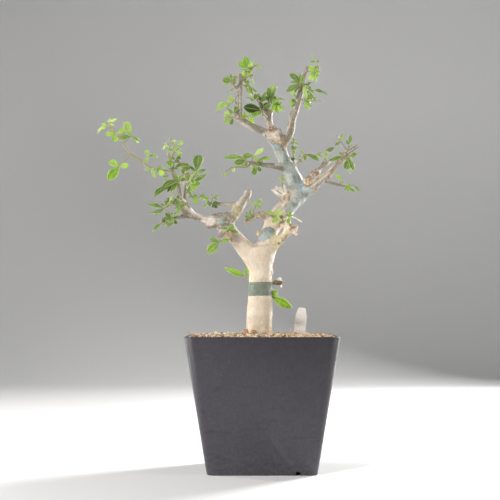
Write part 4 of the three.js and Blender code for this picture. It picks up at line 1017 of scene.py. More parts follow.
cracks = rows("""
    20.6 238.1 20.8 234.8 4 .5, 13.6 243.1 17.1 240.5 4 .4, 17.5 246.2 19.7 242.7 4 .35,
      22.8 205 20.5 200.2 -9 .5, 18.6 198.6 18.7 198.5 -6 1, 14.6 196 15.2 196 -6 .8, 17.2 218.8 18.8 219.1 2 1,
      17 215.7 19.7 214.5 2 .7, 23 210.4 25.5 210.2 -9 .6, 26.5 209.1 27.9 209.5 -13 1.1,
      24.2 242.6 24.3 238.2 6 .1, 24.9 237.2 24 234.4 6 .4, 20 236.5 20.2 235.2 4 .6,
      15.3 236.1 17.1 234.3 4 .7, 16.6 265.2 17.6 261.2 14 .5, 9.3 261.6 16.4 260.8 12 .8,
      7.2 297.1 11.6 299.2 14 .9, 2.7 295.8 4 291.4 11 .5, 17.4 292 19.2 288.4 16 .5,
      20.9 283.8 21.9 288.7 18 1.1, -26.7 204 -25.8 197.5 -11 .8, -21.5 204.3 -14.6 194.7 -5 .3,
      -22.8 202.5 -16.3 192.9 -6 .3, -45.5 210 -39.5 208.9 -19 .5, -12 234.4 -12.8 231.4 0 .6,
      40.3 247.8 41.2 247.6 11 .6, 48.8 256 50.2 260.4 13 .9, 58.5 254.9 58.9 254.7 0 1,
      39.3 253.3 39.7 250.2 9 .4, 61.2 258.9 62.6 262.4 -2 .8, -4.1 219 .3 216.4 -1 .7""")
RING_HEIGHT, RING_HALF, RING_SLOPE, RING_REACH = 156.5, 6.0, 0.02, 14
# How slim, and so how grey, each limb is
slim_limbs = {"left_upright": 1, "inner_upright": 1, "left_post": 1, "top_right": 1, "right_tip": 1, "lower_twig": 1,
              "low_twig": 1, "top_post": 0.3, "top_left": 0.1, "right_fork": 0.8, "mid_twig": 0.5, "post_fork_a": 1,
              "post_fork_b": 1, "snag": 0.4, "snag_arm": 0.5, "right_bough": 0.35, "left_arm": 0.3}
print(len(cracks), "cracks,", len(pruned_ends), "cut ends and", len(tan_scars), "scars")


# %% Measure how far a point lies inside a place
def depth_in_outline(outline):
    """How far points lie inside an outline drawn in x and z, in mm; negative outside it."""
    flat = points[:, [0, 2]]
    nearest, inside = np.full(len(flat), np.inf), np.zeros(len(flat), bool)
    for start, end in zip(outline, outline[1:] + outline[:1]):
        edge = np.subtract(end, start)
        offset = flat - start
        step = np.clip(offset @ edge / (edge @ edge), 0, 1)
        nearest = np.minimum(nearest, np.linalg.norm(offset - step[:, None] * edge, axis=1))
        crosses = (start[1] > flat[:, 1]) != (end[1] > flat[:, 1])
        inside ^= crosses & (offset[:, 0] < offset[:, 1] * edge[0] / (edge[1] or 1))
    return np.where(inside, nearest, -nearest)


def depth_in_line(x, z, end_x, end_z, y, half_width):
    """How far points lie inside a line drawn on the front of a limb, in mm; its depth counts for little."""
    start, edge = np.array((x, 0.2 * y, z)), np.array((end_x - x, 0, end_z - z))
    offset = points * (1, 0.2, 1) - start
    step = np.clip(offset @ edge / (edge @ edge), 0, 1)
    return half_width - np.linalg.norm(offset - step[:, None] * edge, axis=1)


def depth_in_blob(x, y, z, *radii):
    return depth_in(points, (x, y, z), radii if len(radii) > 1 else radii * 3)


def deepest(measure, places):
    """How far points lie inside the nearest of several places."""
    return np.maximum.reduce([measure(*place) for place in places])


print("points are measured against outlines, lines and blobs")

# %% Store the distance to each kind of place
normals = np.empty(len(points) * 3, np.float32)
wood.data.vertex_normals.foreach_get("vector", normals)
normals = normals.reshape(-1, 3)
x, y, z = points.T
limb_order = list(wood_lines)
white_twig = np.array([name.startswith("white_twig") for name in limb_order])[which_limb.astype(int)]
depths = {
    "peeled": deepest(lambda *outline: depth_in_outline(list(outline)), peeled_outlines),
    "deep": deepest(depth_in_blob, deep_blobs),
    "fresh": deepest(depth_in_blob, fresh_blobs),
    "island": deepest(depth_in_blob, bark_islands),
    # Pale bark and painted highlights: the white twigs are wholly pale, the pale places are partly painted highlights
    # and the strips are painted highlights.
    "pale_and_highlight": np.where(white_twig, 3, np.maximum(deepest(depth_in_blob, pale_and_highlight_places),
                                                deepest(depth_in_line, painted_highlight_strips))),
    "crack": np.where(white_twig, -9, deepest(depth_in_line, cracks)),
    # shady: how far a point faces right and down, away from the key light; it places a band of painted shade
    "shady": normals @ (0.9, -0.1, -0.4),
    "ring": np.where(np.hypot(x + 1.5, y) < RING_REACH, RING_HALF - np.abs(z - RING_HEIGHT - RING_SLOPE * x), -9),
    "cut": deepest(depth_in_blob, pruned_ends),
    "scar": deepest(depth_in_blob, tan_scars),
    "torn": depth_in_blob(14, 6, 243, 10, 7, 5),
    "fork": deepest(depth_in_blob, [(17, -6, 200, 11, 8, 13), (-23, -7, 222, 6, 9, 9)]),
    "dead": depth_in_blob(13, 5, 162, 6, 4, 2.6),
    "bleached": deepest(depth_in_blob, [(16, 4.4, 166, 2), (17, 5, 158.5, 2)]),
    "slim": np.array([slim_limbs.get(name, 0) for name in limb_order])[which_limb.astype(int)],
    "silver": np.clip(np.maximum((z - 212) / 30, (-16 - x) / 16), 0, 1),
}
store(wood, "POINT", **depths, along_limb=along_limb, round_limb=round_limb, which_limb=which_limb)
wounded = np.clip(np.maximum.reduce([depths["cut"], depths["scar"], depths["torn"], 0.6 * depths["fork"]]) + 0.7, 0, 1)
lumps = np.zeros(len(points))
for index in np.flatnonzero(wounded):
    spot = Vector(points[index])
    lumps[index] = 0.75 * noise.noise(spot / 2.3) + 0.5 * noise.noise(spot / 1.1)
lumps = lumps * wounded - 0.35 * np.clip(depths["crack"] + 0.4, 0, 1)
set_skin(wood, points + normals * lumps[:, None])
print({name: round(float((depth > 0).mean()), 3) for name, depth in depths.items()}, "shares of the bark")

# %% [markdown]
# ### Bark finish
# The living bark is cream with a pink cast, clouded with warmer and cooler parts, faintly streaked along
# the trunk and flecked with tan. A dark olive band of painted shade runs along the limbs' sides that face away from the
# key light, and pale spots and strips, partly pale bark and partly painted highlights, lie on the lit flanks.
# Peeled places show the green skin below, which is cooler and glossier.
# The edge of the papery layer makes a small step in the bump.


# %% The bark: living skin
def minus(first, second):
    return maths("SUBTRACT", first, second)


def unrolled(along, round_it, own):
    """A place on the unrolled limb, by which a pattern is stretched along it or across it."""
    return add_node("ShaderNodeCombineXYZ", {
        0: times(attribute("along_limb"), along), 1: times(attribute("round_limb"), round_it),
        2: times(attribute("which_limb"), own)}).outputs[0]


bark = new_material("bonsai_bark")
ragged = times(minus(clouds(420, 4, 0.65), 0.5), 3.6)
lengthwise, crosswise = unrolled(0.10, 1, 7.3), unrolled(1, 0.12, 3.1)


def ragged_edge(name, share=1.0):
    """The depth in a kind of place, made ragged by a share of the noise."""
    return plus(attribute(name), times(ragged, share))


silver, slim, shady = (attribute(name) for name in ("silver", "slim", "shady"))
cream = tint(70, (0.64, 0.535, 0.405), (0.70, 0.605, 0.475))
warm = tint(160, (0.57, 0.45, 0.315), (0.79, 0.72, 0.61))
silvered = tint(170, (0.22, 0.195, 0.155), (0.54, 0.495, 0.435))
grey = tint(300, (0.10, 0.098, 0.065), (0.27, 0.26, 0.19))
pale_and_highlight_white = tint(300, (0.74, 0.62, 0.51), (0.92, 0.86, 0.77))
streaks = clouds(1.5, 4, 0.65, lengthwise)
hoops = clouds(0.8, 3, 0.6, crosswise)
curls = add_node("ShaderNodeTexVoronoi", {"Vector": lengthwise, "Scale": 0.42, "Randomness": 1.0},
                 feature="DISTANCE_TO_EDGE").outputs["Distance"]
thin_bark = fade(plus(silver, clouds(75)), 0.45, 0.75)
curl_edge = times(fade(curls, 0, 0.09, 1, 0), thin_bark)
speckled = clouds(900, 3, 0.7)
rough_bark = fade(silver, 0, 0.6, 0.3, 1)
painted_shade_band = fade(plus(shady, times(minus(streaks, 0.5), 0.9)), 0.2, 0.45)
colour = coats(
    cream,
    (0.4, warm),
    (silver, 0.85, silvered),
    (slim, 0.85, grey),
    # Painted shade: a dark olive band on the upper limbs' sides that face away from the key light, fading out before
    # the rim-lit edge.
    (painted_shade_band, fade(shady, 0.72, 0.9, 1, 0), silver, 0.7, (0.20, 0.195, 0.135)),
    (fade(streaks, 0.52, 0.75, 0, 0.55), (0.40, 0.28, 0.19)),
    (fade(streaks, 0.28, 0.46, 0.65, 0), (0.86, 0.80, 0.72)),
    (fade(hoops, 0.6, 0.76, 0, 0.3), (0.45, 0.31, 0.2)),
    (curl_edge, 0.5, (0.30, 0.19, 0.11)),
    (fade(speckled, 0.54, 0.68, 0, 0.5), rough_bark, (0.30, 0.21, 0.145)),
    (fade(speckled, 0.32, 0.45, 0.6, 0), rough_bark, (0.90, 0.84, 0.75)),
    (scatter(400, 0.12), fade(clouds(60), 0.45, 0.6), 0.6, (0.36, 0.22, 0.12)),
    # Painted highlights, together with pale bark: the pale places, the white twigs and the strips on the lit flanks are
    # made nearly white.
    (fade(ragged_edge("pale_and_highlight"), -0.8, 1.8), 0.85, pale_and_highlight_white))
print("living bark has", len(tree.nodes), "nodes")


# %% The bark: peeled, scarred, cut and torn places
def border(distance, width):
    """A dark line where a distance passes through nothing."""
    return fade(maths("ABSOLUTE", distance), 0, width, 1, 0)


yellowed = tint(380, (0.40, 0.34, 0.13), (0.68, 0.62, 0.38))
green_skin = tint(260, (0.105, 0.15, 0.11), (0.158, 0.203, 0.153))
deep_skin = tint(260, (0.085, 0.125, 0.12), (0.20, 0.25, 0.245))
pale_skin = coats(
    tint(190, (0.27, 0.305, 0.27), (0.46, 0.49, 0.44)),
    (fade(streaks, 0.35, 0.6, 0.35, 0), (0.52, 0.56, 0.53)),
    (fade(ragged_edge("deep", 1.3), -1.6, 2.2, 0, 0.8), deep_skin),
    (fade(ragged_edge("fresh"), -1.6, 1.8, 0, 0.8), (0.36, 0.45, 0.49)),
    (fade(ragged_edge("island", 1.3), -1.5, 1.8, 0, 0.8), (0.58, 0.545, 0.46)))
tan = tint(420, (0.54, 0.35, 0.18), (0.88, 0.76, 0.56))
pruned = tint(480, (0.28, 0.14, 0.10), (0.78, 0.57, 0.46))
pith = colour_ramp(clouds(360, 4, 0.7), (0.26, (0.33, 0.17, 0.08)), (0.34, (0.70, 0.47, 0.25)),
                   (0.42, (0.86, 0.76, 0.60)), (0.55, (0.92, 0.88, 0.81)))
dark_wood = tint(500, (0.09, 0.06, 0.035), (0.26, 0.2, 0.12))
umber = tint(520, (0.15, 0.075, 0.035), (0.44, 0.26, 0.12))
ring_edge = plus(attribute("ring"), times(minus(clouds(900, 2), 0.5), 0.7))
peeled_edge, scar_edge = ragged_edge("peeled"), ragged_edge("scar")
peeled, scarred = fade(peeled_edge, -0.15, 0.35), fade(scar_edge, -0.4, 0.9)
cut_here, ripped = fade(ragged_edge("cut", 0.5), -0.3, 0.7), fade(ragged_edge("torn"), -0.3, 0.8)
colour = coats(
    colour,
    (fade(ragged_edge("fork"), -0.5, 1.5), 0.6, yellowed),
    (peeled, fade(clouds(300, 4, 0.65), 0.34, 0.5, 0.75, 1), pale_skin),
    (border(peeled_edge, 0.35), 0.35, (0.30, 0.22, 0.14)),
    (fade(ring_edge, -0.1, 0.1), 0.93, green_skin),
    (scarred, 0.8, tan),
    (border(scar_edge, 0.45), 0.36, (0.26, 0.13, 0.06)),
    (cut_here, 0.85, pruned),
    (ripped, 0.85, pith),
    (fade(attribute("dead"), -0.3, 0.4), dark_wood),
    (fade(attribute("bleached"), 0, 0.5), (0.86, 0.85, 0.8)),
    (fade(ragged_edge("crack", 0.3), -0.45, 0.25), 0.85, umber))
wrinkles = plus(times(plus(streaks, hoops), 0.5), times(minus(speckled, curl_edge), 0.5))
wounds = times(maths("MAXIMUM", cut_here, maths("MAXIMUM", scarred, ripped)), clouds(1100, 3, 0.7))
height = plus(wrinkles, plus(wounds, times(peeled, -0.5)))
finish(colour, minus(0.62, times(peeled, 0.14)), height, 1.0, 0.0008, {
    "Subsurface Weight": 0.08, "Subsurface Radius": (0.0012, 0.0007, 0.0004), "Subsurface Scale": 1.0})
dress(wood, bark, "bark", "tree_wood")
print("wood:", triangles_in(wood), "triangles")

# %% [markdown]
# ## Shoots and leaves
# Commiphora leaves come in threes: a large middle leaflet and two smaller ones at its sides. They are laid
# one by one, since the crowded clusters show old broad leaflets, slim ones seen from their edge and curled
# young ones side by side. One leaflet is a small sheet with a fold along its midrib; its form runs from
# blunt over wedge-shaped to lance-shaped. All leaves of a shoot are one piece with their stems.

# %% Shoots and where their leaves sit
# A shoot is its name and tone (0 for old grey-green leaves, 1 for young yellow-green ones), then its path by
# x, y, z and radius, then its leaves. A leaf is its place along the path in stations, its hub by x, y and z,
# and its lean away from the front in degrees, then its leaflets. A leaflet is how far it runs across and up,
# its width, its tone, how pale it is and, for a curved one, how far it bows sideways.
SHOOT_TABLE = """
    far_left .7 | -76.5 -32.5 256.5 1, -84.5 -35 257 .9, -92 -37 258.5 .9, -96.5 -39 260 .9,
      -102.5 -41 264.5 .9, -111 -44 270 .8, -116.5 -46 278 .8, -121 -48 282.5 .8, -124.5 -50 288 .7,
      -127.5 -51 292 .7
    | 9 -128.2 -50.7 295.9 0: 6.7 2.8 2.2 .95 .6, 4.2 -3.1 1.8 .95 .6, .3 3.8 1.6 .9 .5
    | 9 -131.2 -51.4 292.1 -8: -2 3.3 2.1 .95 .6, -2.2 -1.6 1.8 .9 .4, -8.2 -6.7 2 .9 .55 -.24
    | 7.8 -123.5 -48.6 287.4 12: -8 -1.5 4 .8 .15, -1.1 -7.3 5.2 .72 .05
    | 7.2 -113 -44.9 290.8 0: -9.5 -3.6 4 .95 .2
    | 6.2 -111 -45.4 285 0: -3.1 10.9 7.1 .4 .35, -9.1 -1.9 4.4 .4 -.2, 7.8 -4.5 4 .5 -.1
    | 5 -120.2 -45.9 259.7 -10: -9 4.2 6 .65 .2, 7.4 .2 4.7 .7 .2, -8.5 -12.7 8.2 .72 .12
    | 3.7 -96.4 -40.8 268.1 8: -1.5 5.4 3.5 .6 .3, 8 1.8 4.1 .7 .3, -2 -4.8 2.6 .6 .25
    | 2.5 -94.1 -39.6 256.8 -20: -5.7 .9 1.9 .9 .2, 4.1 -7.1 2.6 .95 .2, 2.2 1.7 1.7 .8 .1
    | 1.4 -86.3 -36.5 260.9 -28: -4.5 -6.9 2.2 .35 .6 -.25, 4 -2.8 2.2 .6 .4 .2
    | 1.5 -87.5 -37.2 257.4 -28: 3.9 -4.9 4.7 .85 .25, -1.9 -2.7 1.9 .8 .1, -1.7 2.2 1.9 .5 .2
    | .7 -81.4 -36.6 250.8 -28: 1.7 1.9 1.8 .4 .2, -1 -3.8 1.5 .4 .2, -2.4 .9 1.5 .4 .2
    | 9 -128.2 -50.7 295.4 0: 3.4 -2.4 1.5 .9 .4, -2.1 2.6 1.4 .9 .5
    | 8.8 -130.8 -51.4 292.4 8: -4.2 2.7 1.6 .95 .5, -4.5 -.3 1.5 .95 .5, 1.8 2 1.5 .9 .3;
    upright_tip .75 | -78 -33.5 264 .9, -76 -36 270 .8, -74.5 -37 273.5 .7, -76 -38 278 .7, -77 -38 282.5 .6,
      -79 -38 285 .6
    | 4.4 -78 -38.9 283.4 0: -1.9 2 1.4 .7 .5
    | 3.8 -76 -38.1 281.7 0: 2.7 .5 2.2 .9 .6, 1.8 -1.5 1.5 .9 .4
    | 2.8 -71.2 -38.6 278.5 0: 4 2.9 4.4 .35 .4, -2.9 .3 1.7 .6 .2, 2.2 -2.9 1.9 .6 .2
    | 3.4 -81.9 -39.2 278.5 -12: -2.5 -3.9 1.9 .85 .6, 2 -1.8 1.8 .85 .5, -.4 1.9 1.5 .9 .6
    | 2.4 -77.7 -38 274 -24: -1 2.7 2.2 .8 0, -2.5 -.5 1.9 .8 .2, 1.4 -2.4 2.2 .75 -.1
    | 2 -73 -38.7 273.4 -10: 2.7 2.4 2.4 .7 .1, 1.5 -2.2 2.4 .75 .1, -1.4 3.1 1.9 .7 0
    | 1.8 -72.2 -38.2 271.2 -10: 4.4 -.8 3.6 .85 .2
    | .9 -76.6 -36.1 268.9 -20: -2 -2.7 2.2 .5 -.1, 1.9 -3.4 2 .4 -.2
    | .2 -77.5 -34.6 265.4 -20: .4 -5.7 3.9 .7 .2, -4.1 -2.6 2.4 .5 .1, -2.4 -4.5 2.4 .55 0;
    upright_side .35 | -77 -32.5 264 .8, -72.5 -30 264.5 .7, -69.5 -27 264 .7, -67 -26 262.5 .6
    | 1 -73.6 -28.8 267.7 16: 3.8 1.4 3.8 .35 .3, -.5 -2.4 1.9 .35 .2, 2.9 -2.8 1.7 .35 .1
    | .3 -74.8 -32.1 258.7 16: 13.2 4 2.7 .5 .35 .2
    | .1 -76.5 -31.8 259.8 16: 5.8 -1.4 2.2 .4 .2, -3.2 -1 2.2 .4 .2;
    inner_tip .3 | -67 -18.5 253 .9, -64.5 -20 256 .8, -61.5 -22 255 .7
    | 2 -56.5 -22.3 256.8 5: 2 16.3 9.4 .2 .25, 8.8 2.4 3.3 .25 .25, -6 5.5 2.7 .3 0
    | 1 -65 -17.4 258.2 16: 0 7.5 4.3 .75 .35, 3.6 5.2 2.6 .6 .2, -3.6 4.2 2.6 .5 .1
    | 1.2 -63.3 -20.6 257.9 0: -.7 -8.8 4.3 .55 .3
    | .3 -67 -18.9 254.6 16: -1.6 5.4 3.8 .45 .1, -3.6 -1.2 2.6 .35 .2
    | 2 -61.3 -24.1 254.4 -44: .4 -5.2 2.7 .5 .3, 5 2.6 1.7 .3 0
    | 2 -58.7 -23.2 248.1 -16: 11.2 6.6 4.1 .35 .35, 5.5 -2.1 3.9 .85 .2, -2.8 2.9 3.4 .7 .2
    | 2 -62.1 -23.2 246 -16: 5.4 -5 3.6 .9 .4, -.5 -5.9 2.7 .7 0, 6.4 -1.9 3.4 .85 .3
    | 2 -60.4 -23.8 250.1 -44: 5 3.5 3.3 .4 0, 7.7 6.2 2.6 .35 .1, 2.8 -3.8 3.9 .8 .3;
    left_front .2 | -71 -30.5 244.5 .9, -71 -35 248 .8, -74 -38 247 .7
    | 1.2 -71.1 -36.3 248.9 -16: -13.2 -7 5.6 .25 -.18, -2.9 5.5 2.7 .3 .3, 4.4 3.9 3.2 .35 .2
    | 2 -80.8 -43.7 242.8 -32: -9.6 -8.5 5.7 .2 -.22
    | 1.5 -72.6 -36.1 246.6 -16: -4.6 -8.2 4.1 .45 .25, -7.3 -4.3 3.4 .3 0, 2.6 -3.6 3.2 .35 .1
    | 2 -76.8 -37.2 244.2 -16: -3.4 -6 2.7 .3 -.1, -6.8 -4.8 2.5 .25 .1
    | 1.2 -70 -36.8 247.3 -16: 4.2 2.6 3.4 .4 .1, 1.2 5.8 3.7 .35 .3, -4.4 1.2 3.7 .3 .1;
    drooping .8 | -66.5 -20.5 244 .8, -62.5 -17 240 .7, -60 -16 235 .6
    | 1.8 -60 -17.1 236.2 4: 5.2 -6.2 3.6 .8 .3, 4 .2 4 .85 .3, -2.8 .2 2.8 .6 .1
    | 2 -52.1 -15.1 236.5 -4: 6.3 -2.3 2.8 .75 0, 2.6 2.1 1.6 .7 .2
    | .7 -64.1 -18.2 241.1 -4: -2.1 -3.5 2.4 .6 0, 3.3 1.6 2.8 .7 .1, 2.6 -2.9 2.4 .6 0
    | .4 -64.3 -17.5 245.2 -4: -2.3 2.9 2.4 .4 .1, 1.7 3.6 2.2 .5 .2;
    low_left_leaf .3 | -75 -34 216.5 .7, -79.5 -39 221 .7, -82.5 -41 224 .6
    | 2 -83.3 -41.3 224.5 -22: -13.8 3.1 3.5 .25 .2, -12.3 -4.2 3.2 .3 .15 .2, -6.4 -6.6 2.7 .3 .1
    | 2 -82.3 -40.4 225.8 8: 1.5 4.9 2.9 .3 .25, -3.1 2.4 2.2 .3 .2, 3.9 .8 2.2 .3 .3
    | 2 -79.1 -40.3 228.5 0: 5.1 8.5 2.2 .5 .55, -1.9 -3.4 2.5 .3 .2, 2.5 -2.4 1.9 .3 .4;
    stub_tuft .45 | -75.5 -31.5 229.5 .8, -78.5 -34 231 .7
    | 1 -77 -35.3 232.1 -8: -3.4 -2.2 2.7 .4 .2, -4.4 .7 2 .4 .2, 2.2 1.9 2 .4 .1
    | .8 -76.2 -35.4 230.4 -8: -3.1 -3.4 2.5 .35 .35, 2.7 -1.9 1.9 .35 0;
    stub_leaf .3 | -70 -29.5 228 .8, -71 -34 231 .7
    | 1 -71.1 -35.7 231.2 -16: -3.6 .7 3.2 .3 .1, -1.5 -3.7 3.1 .35 .1, 2.4 -3.2 2.7 .3 0
    | 1 -70.6 -35.2 232.1 -16: -1.2 3.1 2.9 .3 .1, 2.9 1 2.2 .3 .1;
    elbow_leaf .2 | -65.5 -27.5 226 .8, -64.5 -35 229.5 .7
    | 1 -64.5 -35.1 229.9 -8: -5.1 -6.6 2.4 .35 .1, -1.5 -3.2 2 .35 0, 1.5 -2.9 1.9 .3 0
    | 1 -69.8 -36.5 227.3 -8: -1.9 -7.3 3.7 .3 .25, 2 -2.9 2.2 .3 .1, -4.4 -3.4 2 .3 .1
    | 0 -72.7 -27.1 222.5 -8: -3.2 -3.6 1.7 .35 .3, 2.7 -.5 1.7 .35 .2;
    low_left_tip .3 | -81.5 -38.5 213.5 .8, -83 -41 210 .7
    | .6 -83.4 -41.6 212.8 -4: -10.6 -9.1 3.2 .3 .25
    | .2 -81.1 -42.2 214.6 -16: -3.7 .8 2.4 .3 .2, .7 -4.2 2.9 .3 .2;
    low_left_tuft .15 | -75 -33.5 216 .8, -76 -37 213.5 .7
    | .6 -76.7 -37.1 217 -20: -7.6 -2.4 4.4 .25 .2, -4.9 2.7 3.6 .3 .1, .4 -5.1 5.1 .3 .3
    | .9 -74.5 -37.9 215.3 -20: -5.2 -7.1 4.4 .25 .3, 3.4 2.2 2.7 .3 .2, 2 -4.2 3.2 .25 .2
    | .8 -78 -38.3 217.8 -20: -2.7 -3.4 3.4 .3 .1, 2.2 2.4 2.2 .3 .2, 4.6 .5 2.5 .3 .3;
    arm_tip .6 | -38 9 232 1, -42.5 8 231.5 .8, -46 6 233 .7, -49.5 4 236.5 .6
    | 1.6 -42.9 8 237.7 0: -1.4 2.5 1.6 .5 .6, 5.1 1.9 1.8 .5 .6, 3.7 -2.2 1.6 .5 .3
    | 1.3 -43.4 7 231.5 -8: 4.8 1.2 4.2 .35 -.3, 4.4 -3.2 3.2 .3 -.2, .7 -3.5 2.1 .3 -.1
    | 2 -47.4 5.4 231.3 -8: -3.2 -2.8 2.5 .7 .1, 2.6 -.9 2.5 .5 -.2, -.2 2.8 1.8 .6 .1
    | 3 -51.1 5.1 237 0: 4.5 -1.6 2.6 .85 0, -3.4 1.9 2.5 .9 .1, -1.4 -2.1 1.9 .8 0;
    hanging_leaf .35 | -35.5 -20 203 .8, -36 -27 200 .7
    | 1 -36.5 -28.6 196.5 -6: -8 2.9 4.3 .4 .35, 8.2 1.4 4.3 .45 .3, -9.4 -9.1 8 .5 .3;
    knuckle_tuft .25 | -31 -17 209.5 .8, -28 -25 209 .7
    | 1 -28.7 -25.3 207.5 -20: -4.8 1.4 3.1 .3 0, 2.7 4.5 2.4 .4 .3, 8.1 -2.6 3.3 .45 .1
    | 1 -27.3 -25.2 208 -16: 3.4 1.4 2.7 .35 .1, -2.7 -3.1 2.2 .3 -.1;
    arm_leaf .65 | -8 -1.5 219.5 .8, -6.5 -2 225.5 .7, -5 -2 229 .7
    | 2 -5.2 -3.2 230.4 0: 5.4 4.8 3.7 .6 .3, -4 1.3 3.1 .6 .4, 4.5 -2.7 3.1 .6 .3;
    arm_tuft .3 | -12 -6 216 .8, -12 -9 221 .7
    | 1 -11.1 -9 221 -16: 1.9 4.4 3 .5 .1, -3 1.9 2.1 .35 .5, 3 0 1.9 .4 .1
    | .8 -11.9 -9.4 219.4 -16: -2.6 0 2.4 .3 .1, -1.2 -3.7 2.8 .3 0, 2.8 -1.9 2.1 .4 .1;
    fork_leaf .75 | 12.5 2 216 .8, 12 -3 220.5 .7
    | 1 12.2 -3.5 221.2 -16: -7.9 4.1 3.3 .75 .2, 1.6 6 2.1 .7 .6, 6.3 2.6 3.7 .85 .45
    | 1 13 -4.9 220 -16: -3.5 -5.8 4 .8 .3, 4.5 -4.7 2.3 .7 .5;
    fork_tuft .45 | 24 -12.5 210 .8, 24.5 -13 216.5 .7
    | 1 23.8 -14.6 218.5 -12: .8 5 3.1 .6 0, -.9 -5.6 3.6 .55 0, -2.9 2.8 2.2 .5 .1, 3.2 2.1 1.9 .5 .1;
    trunk_left .7 | -7.5 5 164.5 .9, -13 8 166 .8
    | 1 -13 7.2 167 0: -19.6 8.6 6.2 .72 .15, .7 9.8 4.4 .62 .2;
    trunk_right .8 | 5 4 159 .9, 10.5 6 154.5 .8, 11 4 151 .7
    | 2 8.1 4.9 150.1 -5: 17.7 -10.5 8.4 .9 .05
    | 1.8 8.2 3.1 152.4 -5: 5.4 1.1 6.1 .85 .25;
    post_side .4 | -25.5 -13 334.5 .8, -28.5 -16 336.5 .7
    | .6 -26.7 -14.5 336.3 4: -7 1.9 6.4 .35 .2, -4 5.6 2.9 .4 .1, 4 1.9 3.3 .4 .1
    | .6 -26.2 -14.1 338.5 4: 4.7 2.5 2.8 .35 .2, -1.2 4.7 2.4 .35 .2, 3.3 -3.2 3.1 .4 -.1
    | .7 -28.8 -13.8 335.9 8: -4.2 -1.1 3.1 .35 .1, -.5 3.3 3.5 .4 .2
    | 0 -23.2 -15.2 330.9 8: -7.3 -4.1 1.9 .3 .4;
    post_low .3 | -19.5 -7.5 327 .8, -22 -11 323.5 .7, -23.5 -13 320.5 .7, -26 -14 318 .6
    | 2 -23.3 -13.1 320.5 -12: -6.3 1.8 5.9 .3 .35, 1.6 -3.7 2.4 .3 .1
    | 3 -26.4 -13.9 317.9 0: -14.1 -6.8 5.4 .5 .4 -.18, -4.3 -3 1.7 .4 .2;
    post_foot .2 | -22.5 -12.5 306 .9, -25.5 -16 304.5 .8
    | .9 -24.9 -15.8 304.5 -10: -8 -5.1 4.7 .25 .45, -7.6 4.5 5.9 .25 .4, -2.3 -5.4 3.8 .25 .35
    | 1 -25.8 -16.2 306 0: -2.8 4 3.8 .25 .35, -6.4 -1.4 4 .25 .35
    | .2 -24.1 -13.9 308.6 12: -7.1 5.2 2.4 .4 .2, 2.3 6.8 4.2 .4 -.1, 4.9 3.1 2.2 .4 0;
    foot_right .55 | -16.5 -8 303.5 .8, -13.5 -10 307 .7
    | 1 -12.8 -9.7 307.1 -10: -2.8 3 2.8 .8 .1, -5.1 -1.4 2.8 .7 .1, 3 -3.2 2.6 .8 .2
    | 1 -10 -9.6 307.5 -10: 3.2 -7.5 3.3 .85 .2, .3 -5.4 2.8 .8 .15, 2.3 1.8 1.9 .6 0
    | .6 -16.1 -10.4 306.1 8: 2.3 4.7 2.8 .8 .2, -2.4 -2.6 2.3 .7 .3;
    post_top .6 | -18 -5.5 340 .9, -13.5 -8 341.5 .8, -10.5 -9 343 .7, -9 -10 346.5 .7, -7.5 -11 349.5 .6,
      -5.5 -11 351.5 .6
    | 3.4 -12.8 -11.7 349.3 -20: -1.4 8.3 6.6 .42 .1, -6.8 3.2 5.9 .7 .25, 4.5 3.5 3.6 .9 .2
    | 3.2 -11.4 -10.4 348.1 8: 3.7 1.8 2.8 .75 .2, -4.2 -.2 2.6 .6 .1, .7 6.9 4.7 .5 .1
    | 1.4 -13.7 -8.7 344.5 4: -3.7 1.4 4.2 .75 .3, -.4 3.7 3.6 .7 .3, -3.1 -4 3.6 .7 .2, 3.3 -.9 3.6 .7 .4
    | 1.4 -12.1 -6.5 343.1 16: -3.9 -2.5 3.3 .65 .2, 4.4 .5 3.1 .7 .4, 1.2 4.4 2.8 .6 .2
    | 4.9 -6 -10 351.7 0: -.3 2.3 2.8 .95 .5, 2.7 .9 2.4 .95 .5
    | 5 -3.6 -11.4 350.4 0: 1.6 -2.6 1.9 .95 .4, 3.7 -2.1 1.6 .95 .4
    | .3 -15.8 -5.8 338.7 16: 4.7 -2.1 4.2 .5 0, 1.8 2.3 2.8 .5 .1
    | 2 -9.5 -8.9 340.8 0: 2.9 -5.5 1.7 .5 .5;
    post_droop .3 | -18 -6.5 335 .9, -14.5 -9 334 .8
    | .7 -16.5 -9.7 335 -12: 9.8 -13.7 3 .45 .2
    | 1 -12.3 -9.7 336.1 -12: 4.9 -11.8 2.8 .45 0, -1.7 -3.9 2.3 .4 0
    | 1 -9.7 -8.3 333 8: 5.6 -4.9 2.1 .4 .3
    | 1 -6.4 -8.5 321.3 8: 1.9 5.3 4.2 .4 .1, -7.2 3.2 1.6 .3 0, -3.3 .4 2.4 .4 .1;
    crown_left .35 | -2.5 22 324 .8, -4.5 21 327 .7
    | .7 -3 20.3 326.4 4: -3.2 3.8 3.7 .4 .1, .2 4.9 3.2 .4 .2
    | 0 0 21.6 323.5 4: 4 12 4.3 .35 .6, -2.2 6.7 2.9 .4 .1, 3.4 5.2 3.2 .4 .3;
    crown_leaf .3 | 6 24 315 .9, 5.5 24 321.5 .8, 6.5 25 325 .8, 8.5 26 327.5 .7
    | 3 9.6 26.8 327.2 0: 1.4 14.3 8.2 .2 .6, 12.2 .4 2.1 .5 .3, -6.8 2.7 4.3 .3 0
    | 2.2 8.1 24.8 324.8 0: -7.4 -5.2 4.6 .3 -.2, -4 4.3 3.9 .25 -.3, 4.9 4.9 4.5 .3 0
    | 1.5 8.7 23.1 322.7 -20: -5.2 -4.5 4.5 .5 -.2, 4.9 3.2 3.9 .45 -.2, -.2 6.3 3.6 .3 -.1
    | 2.8 7.5 27.2 326.9 0: -.7 10.3 5 .2 .05;
    crown_right .7 | 10.8 25.8 321.5 .8, 12.5 25 324 .7, 14 24 323 .7
